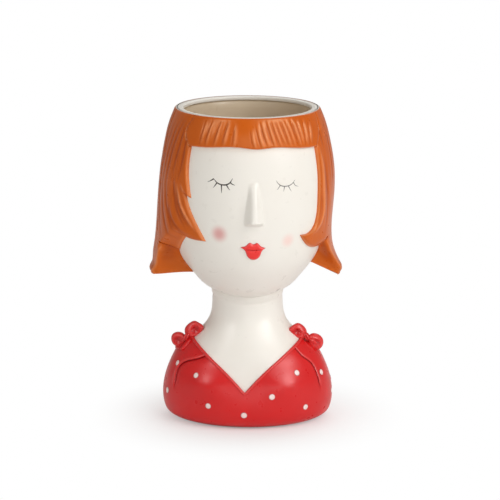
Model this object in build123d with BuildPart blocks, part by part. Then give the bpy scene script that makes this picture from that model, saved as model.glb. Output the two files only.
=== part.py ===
from build123d import *
from math import cos, radians, sin, sqrt
import os

# A glazed ceramic planter shaped like a lady's head and bust. The head is open at the top.
# +Z is up, the figure faces -Y, and the origin is the middle of the underside.
# The head and its hair are drawn looking straight ahead and turned a little to one side.
# Left and right are the viewer's, so left is -X.

os.makedirs("parts", exist_ok=True)

# Head, neck and bust
overall_height = 300.0
head_bottom = 122.0
head_half_width = 77.5
head_front_depth = 79.0
head_back_depth = 78.0
head_wall = 5.5
head_turn = 8.0
throat_radius = 18.0
bust_height = 138.0
bust_half_width = 79.5
bust_front_depth = 60.5
bust_back_depth = 60.0
bust_wall = 4.5

# Rim and mouth of the pot
rim_side_width = 6.8375
rim_front_width = 6.628
rim_back_width = 6.632
lip_height = 3.5
lip_rounding = 1.4

# Floor, drain hole and stopper
floor_thickness = 7.0
foot_width = 9.0
foot_recess = 2.0
drain_hole_radius = 7.0
plug_clearance = 0.3
plug_flange_radius = 11.5
plug_flange_thickness = 3.5
plug_rounding = 1.2
plug_knob_radius = 4.0
plug_knob_height = 9.0
plug_stem_gap = 1.0

# Hair
hair_bottom = 141.0
hair_side_thickness = 6.2
hair_front_thickness = 3.5
hair_back_thickness = 7.0
hair_parting_depth = 10.0
flip_front_depth = 31.0

# Face
nose_height = 39.0
nose_half_width = 8.3
nose_depth = 10.0
nose_bridge_half_width = 3.4
nose_bridge_depth = 2.2
nose_ridge_half_width = 1.1
nose_offset = -1.6
mouth_half_length = 11.6
mouth_drop = 25.8
mouth_offset = -2.1
lip_depth = 2.6

# Dress
dress_thickness = 2.0
dress_top_margin = 10.0
dress_hem_height = 1.0
neckline_tip_height = 35.5
neckline_half_width = 57.0
neckline_shoulder_height = 82.0
neckline_back_height = 69.0
binding_width = 3.0
binding_rise = 0.9
dot_radius = 2.6
dot_rise = 0.5
back_dot_pitch_angle = 33.0

# Bows
bow_outset = 6.42399
bow_lift = 0.5
bow_depth = 4.0
knot_radius = 3.7
loop_length = 17.0
loop_radius = 6.2
tail_length = 16.0
tail_end_width = 7.5
tail_root_width = 3.5
tail_front_depth = 12.5
left_upper_loop_angle = 29.0
left_lower_loop_angle = 212.0
left_tail_angle = 247.0
right_upper_loop_angle = 158.0
right_lower_loop_angle = -36.0

# One overrun serves every cut
overrun = 40.0

# Each level is a share of the height, then of the half width, front depth and back depth.
# A hair level ends with how far it leans to the side, as a share of the half width.
head_level_shares = (
    (0.000, 0.310, 0.380, 0.346, 0.0),
    (0.045, 0.510, 0.614, 0.526, 0.0),
    (0.101, 0.645, 0.747, 0.641, 0.0),
    (0.185, 0.800, 0.867, 0.795, 0.0),
    (0.298, 0.923, 0.949, 0.929, 0.0),
    (0.438, 0.981, 0.994, 0.987, 0.0),
    (0.635, 1.000, 1.000, 1.000, 0.0),
    (0.831, 0.952, 0.975, 0.968, 0.0),
    (1.000, 0.865, 0.932, 0.944, 0.0),
)
bust_level_shares = (
    (0.000, 0.805, 0.793, 0.800, 0.0),
    (0.029, 0.912, 0.893, 0.900, 0.0),
    (0.072, 0.975, 0.967, 0.967, 0.0),
    (0.145, 1.000, 1.000, 1.000, 0.0),
    (0.254, 0.987, 0.975, 0.967, 0.0),
    (0.362, 0.931, 0.909, 0.900, 0.0),
    (0.435, 0.874, 0.843, 0.850, 0.0),
    (0.478, 0.830, 0.802, 0.808, 0.0),
    (0.522, 0.761, 0.744, 0.758, 0.0),
    (0.580, 0.644, 0.669, 0.700, 0.0),
    (0.638, 0.535, 0.603, 0.642, 0.0),
    (0.703, 0.459, 0.545, 0.600, 0.0),
    (0.797, 0.425, 0.521, 0.583, 0.0),
    (0.906, 0.421, 0.512, 0.583, 0.0),
    (1.000, 0.421, 0.512, 0.583, 0.0),
)
hair_level_shares = (
    (0.000, 1.063, 0.760, 1.035, 0.000),
    (0.019, 1.105, 0.800, 1.059, -0.018),
    (0.057, 1.087, 0.848, 1.041, -0.026),
    (0.119, 1.045, 0.903, 1.012, -0.041),
    (0.195, 1.013, 0.949, 0.994, -0.046),
    (0.289, 0.999, 0.978, 0.994, -0.042),
    (0.465, 1.000, 1.000, 1.000, -0.018),
    (0.654, 0.983, 0.999, 0.982, 0.000),
    (0.811, 0.932, 0.976, 0.947, 0.000),
    (0.918, 0.879, 0.958, 0.918, 0.000),
    (1.000, 0.816, 0.909, 0.882, 0.000),
)

# Edges of the hair as seen from the front: shares of the head's half width and of its height
fringe_hem_shares = (
    (-0.729, 0.839),
    (-0.529, 0.843),
    (-0.279, 0.851),
    (-0.139, 0.848),
    (-0.012, 0.841),
    (0.192, 0.846),
    (0.541, 0.833),
    (0.742, 0.826),
)
left_crease_shares = ((-0.675, 1.0), (-0.755, 0.927), (-0.729, 0.839))
right_crease_shares = ((0.742, 0.826), (0.775, 0.927), (0.760, 1.0))
left_lock_shares = (
    ((-0.729, 0.839), (-0.763, 0.745), (-0.768, 0.660), (-0.742, 0.567)),
    ((-0.742, 0.567), (-0.797, 0.594)),
    ((-0.797, 0.594), (-0.754, 0.510), (-0.680, 0.435), (-0.574, 0.346)),
    ((-0.574, 0.346), (-0.724, 0.347), (-0.795, 0.354)),
    ((-0.795, 0.354), (-0.854, 0.265)),
)
left_ridge_shares = ((-0.854, 0.265), (-0.980, 0.303), (-1.140, 0.382))
right_lock_shares = (
    ((0.742, 0.826), (0.766, 0.760), (0.788, 0.653), (0.786, 0.548), (0.774, 0.468), (0.725, 0.402),
     (0.652, 0.376), (0.550, 0.375)),
    ((0.550, 0.375), (0.622, 0.323), (0.724, 0.287), (0.821, 0.284)),
)
right_ridge_shares = ((0.821, 0.284), (0.938, 0.306), (1.140, 0.382))

# Foot of the nose, which the mouth hangs below: a share of the head's height
nose_foot_share = 0.455

# Neckline from its tip to the shoulder: shares of its half width and of its rise
neckline_shares = ((0.0, 0.0), (0.246, 0.312), (0.561, 0.619), (0.886, 0.890), (1.0, 1.0))
back_neckline_shares = ((0.0, 0.0), (0.526, 0.18), (0.886, 0.62), (1.0, 1.0))

# Armhole seam from the neckline down: shares of the bust's half width and of the neckline's top
armhole_shares = ((0.503, 0.850), (0.553, 0.817), (0.755, 0.715), (0.836, 0.580), (0.881, 0.396))

# Lips: shares of the mouth's half length, across and up from the mouth line
upper_lip_shares = (
    (-1.0, 0.29),
    (-0.56, 0.42),
    (-0.24, 0.66),
    (0.02, 0.53),
    (0.30, 0.63),
    (0.56, 0.38),
    (1.0, 0.21),
)
lower_lip_shares = ((0.70, -0.10), (0.56, -0.45), (0.05, -0.80), (-0.46, -0.45), (-0.62, -0.10))
mouth_corner_shares = ((1.0, 0.13), (-1.0, 0.21))
mouth_line_shares = ((-1.1, 0.25), (-0.6, 0.06), (0.0, 0.05), (0.6, 0.01), (1.1, 0.17))

# Half the outline of a bow's loop: shares of its length and of its radius
loop_shares = ((0.0, 0.30), (0.35, 0.74), (0.65, 1.0), (0.90, 0.68), (1.0, 0.0))

# Front dots: angle round from the front, and height as a share of the dress's top
front_dot_places = (
    (0.0, 0.170),
    (-31.0, 0.250),
    (23.6, 0.362),
    (52.0, 0.216),
    (-45.0, 0.549),
    (48.0, 0.580),
    (73.5, 0.523),
    (-69.8, 0.610),
    (-73.4, 0.315),
    (85.0, 0.285),
)

# Dots behind: height as a share of the dress's top, first angle, and how many in the row
back_dot_rows = ((0.200, 114.0, 5), (0.385, 98.0, 6), (0.570, 114.0, 5))

head_height = overall_height - head_bottom
hair_half_width = head_half_width + hair_side_thickness
hair_front_depth = head_front_depth + hair_front_thickness
hair_back_depth = head_back_depth + hair_back_thickness
dress_top = neckline_shoulder_height + dress_top_margin
nose_base_height = head_bottom + nose_foot_share * head_height
mouth_line_height = nose_base_height - mouth_drop
head_level = Plane.XY.rotated((0, 0, head_turn))
head_front = Plane(
    origin=(0, 0, 0),
    x_dir=(cos(radians(head_turn)), sin(radians(head_turn)), 0),
    z_dir=(sin(radians(head_turn)), -cos(radians(head_turn)), 0),
)


def levels_from(shares, bottom, height, half_width, front_depth, back_depth):
    """Real levels (height, half width, front depth, back depth, lean) from a table of shares."""
    return [
        (bottom + up * height, half * half_width, front * front_depth, back * back_depth, lean * half_width)
        for up, half, front, back, lean in shares
    ]


def grown(levels, amount):
    """The same levels, each wider all round by the amount, or narrower where it is negative."""
    return [
        (height, half + amount, front + amount, back + amount, lean)
        for height, half, front, back, lean in levels
    ]


def cavity_levels(levels, wall):
    """Levels of the hollow inside: narrower by the wall, and lifted where the shell closes in."""
    widest = max(half for _, half, _, _, _ in levels)
    return [
        (height + wall * (1 - half / widest), half - wall, front - wall, back - wall, lean)
        for height, half, front, back, lean in levels
    ]


def half_width_at(levels, height):
    """Half width at a height, on a straight line between the levels below and above it."""
    for low, high in zip(levels, levels[1:]):
        if low[0] <= height <= high[0]:
            return low[1] + (high[1] - low[1]) * (height - low[0]) / (high[0] - low[0])
    return levels[-1][1]


def tower(levels, base=Plane.XY):
    """A closed solid lofted through level ovals, each made of a back and a front half ellipse."""
    with BuildPart() as solid:
        for height, half, front, back, lean in levels:
            with BuildSketch(base.offset(height)):
                with BuildLine():
                    EllipticalCenterArc((lean, 0), half, back, 0, arc_size=180)
                    EllipticalCenterArc((lean, 0), half, front, 180, arc_size=180)
                make_face()
        loft()
    return solid.part


def prism(runs, plane, reach, both=False):
    """A straight-sided block from an outline of smooth runs of points, joined by straight lines."""
    with BuildPart() as block:
        with BuildSketch(plane):
            with BuildLine():
                for run in runs:
                    if len(run) > 2:
                        Spline(*run)
                    elif len(run) == 2:
                        Line(*run)
                for run, following in zip(runs, runs[1:] + runs[:1]):
                    if run[-1] != following[0]:
                        Line(run[-1], following[0])
            make_face()
        extrude(amount=reach, both=both)
    return block.part


def head_place(shares):
    """Points on the head's front plane from shares of its half width and height."""
    return [(across * head_half_width, head_bottom + up * head_height) for across, up in shares]


# Closed solids that the shells are cut from
head_levels = levels_from(
    head_level_shares, head_bottom, head_height, head_half_width, head_front_depth, head_back_depth
)
head_form = tower(head_levels, head_level)
head_hollow = tower(cavity_levels(head_levels, head_wall), head_level)
head_well = split(head_hollow, Plane.XY.offset(overall_height - lip_height), keep=Keep.BOTTOM)
hair_levels = levels_from(
    hair_level_shares,
    hair_bottom,
    overall_height - hair_bottom,
    hair_half_width,
    hair_front_depth,
    hair_back_depth,
)
hair_form = tower(hair_levels, head_level)
bust_levels = levels_from(
    bust_level_shares, 0, bust_height, bust_half_width, bust_front_depth, bust_back_depth
)
bust_form = tower(bust_levels)
bust_hollow = split(
    tower(cavity_levels(bust_levels, bust_wall)), Plane.XY.offset(floor_thickness), keep=Keep.TOP
)
floor_half_width = bust_levels[0][1] - bust_wall
floor_half_depth = bust_levels[0][2] - bust_wall
dress_form = tower(grown(bust_levels, dress_thickness))
binding_form = tower(grown(bust_levels, dress_thickness + binding_rise))
shoulder_half_width = half_width_at(bust_levels, neckline_shoulder_height) + dress_thickness

# Head: an egg with an open mouth, an inner lip at the rim and a throat at its lower end
mouth_half_width = head_levels[-1][1] - rim_side_width
mouth_front_depth = head_levels[-1][2] - rim_front_width
mouth_back_depth = head_levels[-1][3] - rim_back_width
with BuildPart() as head_shell:
    add(head_form)
    add(head_well, mode=Mode.SUBTRACT)
    with BuildSketch(head_level.offset(overall_height)):
        with BuildLine():
            EllipticalCenterArc((0, 0), mouth_half_width, mouth_back_depth, 0, arc_size=180)
            EllipticalCenterArc((0, 0), mouth_half_width, mouth_front_depth, 180, arc_size=180)
        make_face()
    extrude(amount=-(lip_height + lip_rounding), mode=Mode.SUBTRACT)
    with BuildSketch(Plane.XY.offset(head_bottom)):
        Circle(throat_radius)
    extrude(amount=overrun, both=True, mode=Mode.SUBTRACT)
    mouth_edge = head_shell.faces().sort_by(Axis.Z)[-1].inner_wires()[0]
    fillet(mouth_edge.edges(), lip_rounding)
head_shell.part.label = "head_shell"

# Neck and bust: a hollow casting that the egg of the head stands in
with BuildPart() as neck_and_chest:
    add(bust_form)
    add(bust_hollow, mode=Mode.SUBTRACT)
    with BuildSketch(Plane.XY):
        Ellipse(floor_half_width, floor_half_depth)
    extrude(amount=floor_thickness, mode=Mode.SUBTRACT)
    add(head_form, mode=Mode.SUBTRACT)
neck_and_chest.part.label = "neck_and_chest"

# Floor: luted into the foot of the bust, hollowed underneath, with a raised foot and a drain hole
with BuildPart() as base_disc:
    with BuildSketch(Plane.XY):
        Ellipse(floor_half_width, floor_half_depth)
    extrude(amount=floor_thickness)
    with BuildSketch(Plane.XY):
        Ellipse(floor_half_width - foot_width, floor_half_depth - foot_width)
    extrude(amount=foot_recess, mode=Mode.SUBTRACT)
    with BuildSketch(Plane.XY):
        Circle(drain_hole_radius)
    extrude(amount=floor_thickness, mode=Mode.SUBTRACT)
base_disc.part.label = "base_disc"

# Stopper: a soft rubber mushroom whose flange rests on the floor and whose stem fills the hole
plug_flange_top = floor_thickness + plug_clearance + plug_flange_thickness
with BuildPart() as drain_plug:
    with BuildSketch(Plane.XZ):
        with BuildLine():
            Polyline(
                (0, foot_recess + plug_stem_gap),
                (drain_hole_radius - plug_clearance, foot_recess + plug_stem_gap),
                (drain_hole_radius - plug_clearance, floor_thickness + plug_clearance),
                (plug_flange_radius, floor_thickness + plug_clearance),
                (plug_flange_radius, plug_flange_top),
                (plug_knob_radius, plug_flange_top),
                (plug_knob_radius, plug_flange_top + plug_knob_height),
                (0, plug_flange_top + plug_knob_height),
                close=True,
            )
        make_face()
    revolve(axis=Axis.Z)
    fillet(drain_plug.edges().filter_by(GeomType.CIRCLE).sort_by(Axis.Z)[-3:], plug_rounding)
drain_plug.part.label = "drain_plug"

# Hair: the layer between the head and the outer form, cut into pieces by outlines seen from the front
with BuildPart() as hair_layer:
    add(hair_form)
    add(head_form, mode=Mode.SUBTRACT)
parting_plane = head_front.offset(hair_parting_depth)
hair_span = hair_half_width + overrun
hair_low = hair_bottom - overrun
fringe_hem = head_place(fringe_hem_shares)
left_crease = head_place(left_crease_shares)
right_crease = head_place(right_crease_shares)
left_lock = [head_place(run) for run in left_lock_shares]
right_lock = [head_place(run) for run in right_lock_shares]
left_ridge = head_place(left_ridge_shares)
right_ridge = head_place(right_ridge_shares)
hair_top = overall_height + overrun
above_left_crease = (left_crease[0][0], hair_top)
above_right_crease = (right_crease[-1][0], hair_top)

with BuildPart() as hair_back:
    add(hair_layer.part)
    split(bisect_by=parting_plane, keep=Keep.BOTTOM)
hair_back.part.label = "hair_back"

with BuildPart() as hair_fringe:
    add(hair_layer.part)
    add(
        prism(
            [left_crease, fringe_hem, right_crease, [above_right_crease, above_left_crease]],
            parting_plane,
            hair_span,
        ),
        mode=Mode.INTERSECT,
    )
hair_fringe.part.label = "hair_fringe"

with BuildPart() as hair_side_left:
    add(hair_layer.part)
    add(
        prism(
            [
                left_crease,
                *left_lock,
                left_ridge,
                [(-hair_span, left_ridge[-1][1])],
                [(-hair_span, hair_top), above_left_crease],
            ],
            parting_plane,
            hair_span,
        ),
        mode=Mode.INTERSECT,
    )
hair_side_left.part.label = "hair_side_left"

with BuildPart() as hair_side_right:
    add(hair_layer.part)
    add(
        prism(
            [
                right_crease[::-1],
                *right_lock,
                right_ridge,
                [(hair_span, right_ridge[-1][1])],
                [(hair_span, hair_top), above_right_crease],
            ],
            parting_plane,
            hair_span,
        ),
        mode=Mode.INTERSECT,
    )
hair_side_right.part.label = "hair_side_right"

# The flared ends stand farther back than the locks above them
flip_reach = flip_front_depth - hair_parting_depth
with BuildPart() as hair_flip_left:
    add(hair_layer.part)
    add(
        prism(
            [left_ridge, [(-hair_span, left_ridge[-1][1])], [(-hair_span, hair_low)], [(0, hair_low)]],
            parting_plane,
            flip_reach,
        ),
        mode=Mode.INTERSECT,
    )
hair_flip_left.part.label = "hair_flip_left"

with BuildPart() as hair_flip_right:
    add(hair_layer.part)
    add(
        prism(
            [right_ridge, [(hair_span, right_ridge[-1][1])], [(hair_span, hair_low)], [(0, hair_low)]],
            parting_plane,
            flip_reach,
        ),
        mode=Mode.INTERSECT,
    )
hair_flip_right.part.label = "hair_flip_right"

# Nose: a long wedge, narrow at the bridge, with two flat sides and a flat underside
with BuildPart() as nose:
    for height, half_width, depth in (
        (nose_base_height, nose_half_width, nose_depth),
        (nose_base_height + nose_height, nose_bridge_half_width, nose_bridge_depth),
    ):
        with BuildSketch(head_level.offset(height)):
            with BuildLine():
                Polyline(
                    (nose_offset - half_width, -head_front_depth + head_wall),
                    (nose_offset - half_width, -head_front_depth),
                    (nose_offset - nose_ridge_half_width, -head_front_depth - depth),
                    (nose_offset + nose_ridge_half_width, -head_front_depth - depth),
                    (nose_offset + half_width, -head_front_depth),
                    (nose_offset + half_width, -head_front_depth + head_wall),
                    close=True,
                )
            make_face()
    loft(ruled=True)
    add(head_form, mode=Mode.SUBTRACT)
nose.part.label = "nose"

# Lips: two low pads that follow the curve of the face and meet along the mouth line
lip_form = tower(grown(head_levels, lip_depth), head_level)


def lip_place(shares):
    """Points on the head's front plane from shares of the mouth's half length."""
    return [
        (mouth_offset + across * mouth_half_length, mouth_line_height + up * mouth_half_length)
        for across, up in shares
    ]


mouth_line = lip_place(mouth_line_shares)
mouth_corners = lip_place(mouth_corner_shares)
mouth_top = mouth_line_height + mouth_half_length
above_mouth_line = prism(
    [
        mouth_line,
        [(hair_span, mouth_line[-1][1])],
        [(hair_span, mouth_top)],
        [(-hair_span, mouth_top)],
        [(-hair_span, mouth_line[0][1])],
    ],
    parting_plane,
    hair_span,
)
with BuildPart() as lips:
    add(lip_form)
    add(head_form, mode=Mode.SUBTRACT)
    add(
        prism(
            [
                lip_place(upper_lip_shares),
                [mouth_corners[0]],
                lip_place(lower_lip_shares),
                [mouth_corners[1]],
            ],
            parting_plane,
            hair_span,
        ),
        mode=Mode.INTERSECT,
    )

with BuildPart() as upper_lip:
    add(lips.part)
    add(above_mouth_line, mode=Mode.INTERSECT)
upper_lip.part.label = "upper_lip"

with BuildPart() as lower_lip:
    add(lips.part)
    add(above_mouth_line, mode=Mode.SUBTRACT)
lower_lip.part.label = "lower_lip"

# Dress: a layer over the bust, open at the neckline in front and behind, seamed at the armholes
def mirrored(points):
    """The same points on the other side, in reverse order so that an outline runs on."""
    return [(-across, up) for across, up in reversed(points)]


def neckline_block(grow):
    """The block above the neckline, a V in front and a shallow scoop behind, wider by the given growth."""
    half_width = neckline_half_width + grow
    tip = neckline_tip_height - grow * sqrt(2)
    scoop = neckline_back_height - grow
    front = [
        (across * half_width, tip + up * (neckline_shoulder_height - tip)) for across, up in neckline_shares
    ]
    back = [
        (across * half_width, scoop + up * (neckline_shoulder_height - scoop))
        for across, up in back_neckline_shares
    ]
    top = [(half_width, dress_top + overrun), (-half_width, dress_top + overrun)]
    with BuildPart() as block:
        add(prism([front, top, mirrored(front)], Plane.XZ, bust_half_width))
        add(prism([mirrored(back)[:-1] + back, top], Plane.XZ, -bust_half_width))
    return block.part


neck_opening = neckline_block(0)
binding_opening = neckline_block(binding_width)
armhole = [(across * bust_half_width, up * neckline_shoulder_height) for across, up in armhole_shares]
armhole_foot = [(armhole[-1][0], -overrun), (bust_half_width + overrun, -overrun)]
armhole_head = [(bust_half_width + overrun, dress_top + overrun), (armhole[0][0], dress_top + overrun)]
right_arm_block = prism([armhole, armhole_foot, armhole_head], Plane.XZ, bust_half_width, both=True)
left_arm_block = mirror(right_arm_block, about=Plane.YZ)

with BuildPart() as dress_layer:
    add(dress_form)
    split(bisect_by=Plane.XY.offset(dress_top), keep=Keep.BOTTOM)
    split(bisect_by=Plane.XY.offset(dress_hem_height), keep=Keep.TOP)
    add(bust_form, mode=Mode.SUBTRACT)
    add(binding_opening, mode=Mode.SUBTRACT)

with BuildPart() as dress_bodice:
    add(dress_layer.part)
    add(right_arm_block, mode=Mode.SUBTRACT)
    add(left_arm_block, mode=Mode.SUBTRACT)
dress_bodice.part.label = "dress_bodice"

with BuildPart() as dress_side_left:
    add(dress_layer.part)
    add(left_arm_block, mode=Mode.INTERSECT)
dress_side_left.part.label = "dress_side_left"

with BuildPart() as dress_side_right:
    add(dress_layer.part)
    add(right_arm_block, mode=Mode.INTERSECT)
dress_side_right.part.label = "dress_side_right"

# Binding: the rolled edge of the neckline, a little prouder than the dress
with BuildPart() as neckline_binding:
    add(binding_form)
    split(bisect_by=Plane.XY.offset(dress_top), keep=Keep.BOTTOM)
    add(bust_form, mode=Mode.SUBTRACT)
    add(binding_opening, mode=Mode.INTERSECT)
    add(neck_opening, mode=Mode.SUBTRACT)
neckline_binding.part.label = "neckline_binding"

# Dots: flat-topped studs that stand square to the dress
back_dot_places = [
    (first_angle + back_dot_pitch_angle * place, height_share)
    for height_share, first_angle, count in back_dot_rows
    for place in range(count)
]
with BuildPart() as polka_dots:
    for angle, height_share in list(front_dot_places) + back_dot_places:
        outward = Vector(sin(radians(angle)), -cos(radians(angle)), 0)
        ray = Axis((0, 0, height_share * dress_top), outward)
        spot, square = dress_form.find_intersection_points(ray)[-1]
        with BuildSketch(Plane(origin=spot, z_dir=square).offset(-dress_thickness / 2)):
            Circle(dot_radius)
        extrude(amount=dress_thickness / 2 + dot_rise)
    add(dress_form, mode=Mode.SUBTRACT)
polka_dots.part.label = "polka_dots"


# Bows: pinched loops and a tail that come out of a round knot, seated on the shoulder
bow_half_span = shoulder_half_width + bow_outset
bow_height = neckline_shoulder_height + bow_lift
left_knot_place = Vector(-bow_half_span, -bow_depth, bow_height)
right_knot_place = Vector(bow_half_span, -bow_depth, bow_height)


def bow_plane(place, angle):
    """The upright plane through a knot whose x runs out of the knot at the angle."""
    return Plane(origin=place, x_dir=(cos(radians(angle)), 0, sin(radians(angle))), z_dir=(0, -1, 0))


def knot(place):
    """The ball in the middle of a bow."""
    with BuildPart() as ball:
        with Locations(place):
            Sphere(knot_radius)
        add(binding_form, mode=Mode.SUBTRACT)
    return ball.part


def bow_loop(place, angle):
    """One loop: a drop turned round the line along which it leaves the knot."""
    plane = bow_plane(place, angle)
    with BuildPart() as drop:
        with BuildSketch(plane):
            with BuildLine():
                Spline(
                    *[(along * loop_length, out * loop_radius) for along, out in loop_shares],
                    tangents=((1, 0.5), (0, -1)),
                )
                Polyline((loop_length, 0), (0, 0), (0, loop_shares[0][1] * loop_radius))
            make_face()
        revolve(axis=Axis(place, plane.x_dir))
        with Locations(place):
            Sphere(knot_radius, mode=Mode.SUBTRACT)
        add(binding_form, mode=Mode.SUBTRACT)
    return drop.part


with BuildPart() as bow_left_knot:
    add(knot(left_knot_place))
bow_left_knot.part.label = "bow_left_knot"

with BuildPart() as bow_left_loop_upper:
    add(bow_loop(left_knot_place, left_upper_loop_angle))
bow_left_loop_upper.part.label = "bow_left_loop_upper"

with BuildPart() as bow_left_loop_lower:
    add(bow_loop(left_knot_place, left_lower_loop_angle))
bow_left_loop_lower.part.label = "bow_left_loop_lower"

with BuildPart() as bow_left_tail:
    with BuildSketch(bow_plane(left_knot_place, left_tail_angle)):
        with BuildLine():
            Polyline(
                (0, -tail_root_width / 2),
                (tail_length, -tail_end_width / 2),
                (tail_length, tail_end_width / 2),
                (0, tail_root_width / 2),
                close=True,
            )
        make_face()
    extrude(amount=tail_front_depth - bow_depth)
    add(binding_form, mode=Mode.SUBTRACT)
    add([bow_left_knot.part, bow_left_loop_lower.part], mode=Mode.SUBTRACT)
bow_left_tail.part.label = "bow_left_tail"

with BuildPart() as bow_right_knot:
    add(knot(right_knot_place))
bow_right_knot.part.label = "bow_right_knot"

with BuildPart() as bow_right_loop_upper:
    add(bow_loop(right_knot_place, right_upper_loop_angle))
bow_right_loop_upper.part.label = "bow_right_loop_upper"

with BuildPart() as bow_right_loop_lower:
    add(bow_loop(right_knot_place, right_lower_loop_angle))
bow_right_loop_lower.part.label = "bow_right_loop_lower"

pieces = (
    head_shell,
    neck_and_chest,
    base_disc,
    drain_plug,
    hair_back,
    hair_fringe,
    hair_side_left,
    hair_side_right,
    hair_flip_left,
    hair_flip_right,
    nose,
    upper_lip,
    lower_lip,
    dress_bodice,
    dress_side_left,
    dress_side_right,
    neckline_binding,
    polka_dots,
    bow_left_knot,
    bow_left_loop_upper,
    bow_left_loop_lower,
    bow_left_tail,
    bow_right_knot,
    bow_right_loop_upper,
    bow_right_loop_lower,
)
for piece in pieces:
    print(piece.part.label, "solids:", len(piece.part.solids()), "valid:", piece.part.is_valid)
    export_step(piece.part, f"parts/{piece.part.label}.step")
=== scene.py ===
from math import asin, cos, degrees, pi, radians, sin

import bmesh
import bpy
import numpy as np
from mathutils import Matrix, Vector
from mathutils.geometry import delaunay_2d_cdt


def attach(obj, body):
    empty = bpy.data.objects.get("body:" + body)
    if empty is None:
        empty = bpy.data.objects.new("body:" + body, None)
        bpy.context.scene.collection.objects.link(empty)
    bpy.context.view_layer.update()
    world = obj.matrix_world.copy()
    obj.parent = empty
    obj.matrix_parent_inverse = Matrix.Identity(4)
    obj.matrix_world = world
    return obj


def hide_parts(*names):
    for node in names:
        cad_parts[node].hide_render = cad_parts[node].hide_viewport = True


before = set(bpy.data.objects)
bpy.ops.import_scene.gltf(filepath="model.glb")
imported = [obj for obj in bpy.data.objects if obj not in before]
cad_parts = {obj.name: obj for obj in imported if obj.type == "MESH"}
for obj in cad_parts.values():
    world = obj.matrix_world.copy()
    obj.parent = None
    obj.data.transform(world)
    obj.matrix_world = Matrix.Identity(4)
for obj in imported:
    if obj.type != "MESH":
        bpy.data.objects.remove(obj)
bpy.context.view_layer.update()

# Head shell
# The real head is one slip-cast egg, open at the top, turned a little to one side on its neck.
# A thick rim runs round the mouth and steps in to a short inner lip, and the face is painted on it.
mm = 0.001
head_turn = radians(8.0)
head_foot = 122.0
rim_height = 300.0
rim_half, rim_deep = 67.0, 73.6
throat_radius = 18.0


def through(knots, values):
    """A natural cubic spline through the values, as a function of the knot's quantity."""
    knots, values = np.array(knots, float), np.array(values, float)
    step, count = np.diff(knots), len(knots)
    slope = np.diff(values) / step
    system, right = np.eye(count), np.zeros(count)
    for k in range(1, count - 1):
        system[k, k - 1:k + 2] = step[k - 1], 2 * (step[k - 1] + step[k]), step[k]
        right[k] = 6 * (slope[k] - slope[k - 1])
    bend = np.linalg.solve(system, right)

    def at(x):
        x = np.asarray(x, float)
        k = np.clip(np.searchsorted(knots, x) - 1, 0, count - 2)
        t = x - knots[k]
        line = slope[k] - step[k] * (2 * bend[k] + bend[k + 1]) / 6
        return values[k] + t * (line + t * (bend[k] / 2 + t * (bend[k + 1] - bend[k]) / (6 * step[k])))

    return at


class Form:
    """A body of level ovals: a half width, a front depth and a back depth at each height."""

    def __init__(self, rows, turn=0.0):
        rows = np.array(rows, float)
        self.half, self.front, self.back, self.lean = (
            through(rows[:, 0], rows[:, k]) for k in (1, 2, 3, 4)
        )
        self.turn = turn

    def place(self, angle, height, out=0.0):
        """Points at an angle round from the front (-Y towards +X), moved outwards by a length."""
        angle, height = np.broadcast_arrays(np.asarray(angle, float), np.asarray(height, float))
        half = self.half(height)
        deep = np.where(np.cos(angle) > 0, self.front(height), self.back(height))
        x = self.lean(height) + half * np.sin(angle)
        y = -deep * np.cos(angle)
        across, along = np.sin(angle) / half, -np.cos(angle) / deep
        size = np.sqrt(across**2 + along**2)
        x = x + out * across / size
        y = y + out * along / size
        c, s = cos(self.turn), sin(self.turn)
        return np.stack([c * x - s * y, s * x + c * y, height + 0 * x], -1)

    def outward(self, angle, height):
        """The true outward direction of the surface, tilted with the slope of its side."""
        step = 0.25
        round_it = self.place(angle + 0.01, height) - self.place(angle - 0.01, height)
        up_it = self.place(angle, height + step) - self.place(angle, height - step)
        normal = np.cross(round_it, up_it)
        return normal / np.linalg.norm(normal, axis=-1, keepdims=True)


head = Form(
    [
        (122.0, 24.0, 30.0, 27.0, 0.0),
        (130.0, 39.5, 48.5, 41.0, 0.0),
        (140.0, 50.0, 59.0, 50.0, 0.0),
        (155.0, 62.0, 68.5, 62.0, 0.0),
        (175.0, 71.5, 75.0, 72.5, 0.0),
        (200.0, 76.0, 78.5, 77.0, 0.0),
        (235.0, 77.5, 79.0, 78.0, 0.0),
        (270.0, 73.8, 77.0, 75.5, 0.0),
        (rim_height, rim_half, rim_deep, rim_deep, 0.0),
    ],
    head_turn,
)


sharp_above = 62.0


def build(name, verts, faces, material, pools=None):
    """A mesh object at the origin, in metres, with its faces turned outwards and smooth.

    Pools, where given, are how thick the glaze lies at each point, and they also carry painted shade and
    painted highlights: above 0 the glaze pools and darkens, below 0 it runs thin and pales.
    """
    mesh = bpy.data.meshes.new(name + "_glazed")
    mesh.from_pydata([tuple(p) for p in verts * mm], [], faces)
    if pools is not None:
        mesh.attributes.new("glaze_depth", "FLOAT", "POINT").data.foreach_set("value", pools.astype(float))
    work = bmesh.new()
    work.from_mesh(mesh)
    if pools is None:
        bmesh.ops.remove_doubles(work, verts=work.verts, dist=0.0005 * mm)
    bmesh.ops.recalc_face_normals(work, faces=work.faces)
    work.to_mesh(mesh)
    work.free()
    mesh.polygons.foreach_set("use_smooth", [True] * len(mesh.polygons))
    if pools is not None:
        mesh.set_sharp_from_angle(angle=radians(sharp_above))
    mesh.materials.append(material)
    piece = bpy.data.objects.new(name + "_glazed", mesh)
    bpy.context.scene.collection.objects.link(piece)
    return piece


def seat(piece):
    """Fixes a piece to the planter in place of the CAD node of its name."""
    node = piece.name.removesuffix("_glazed")
    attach(piece, "planter")
    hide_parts(node)


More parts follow.
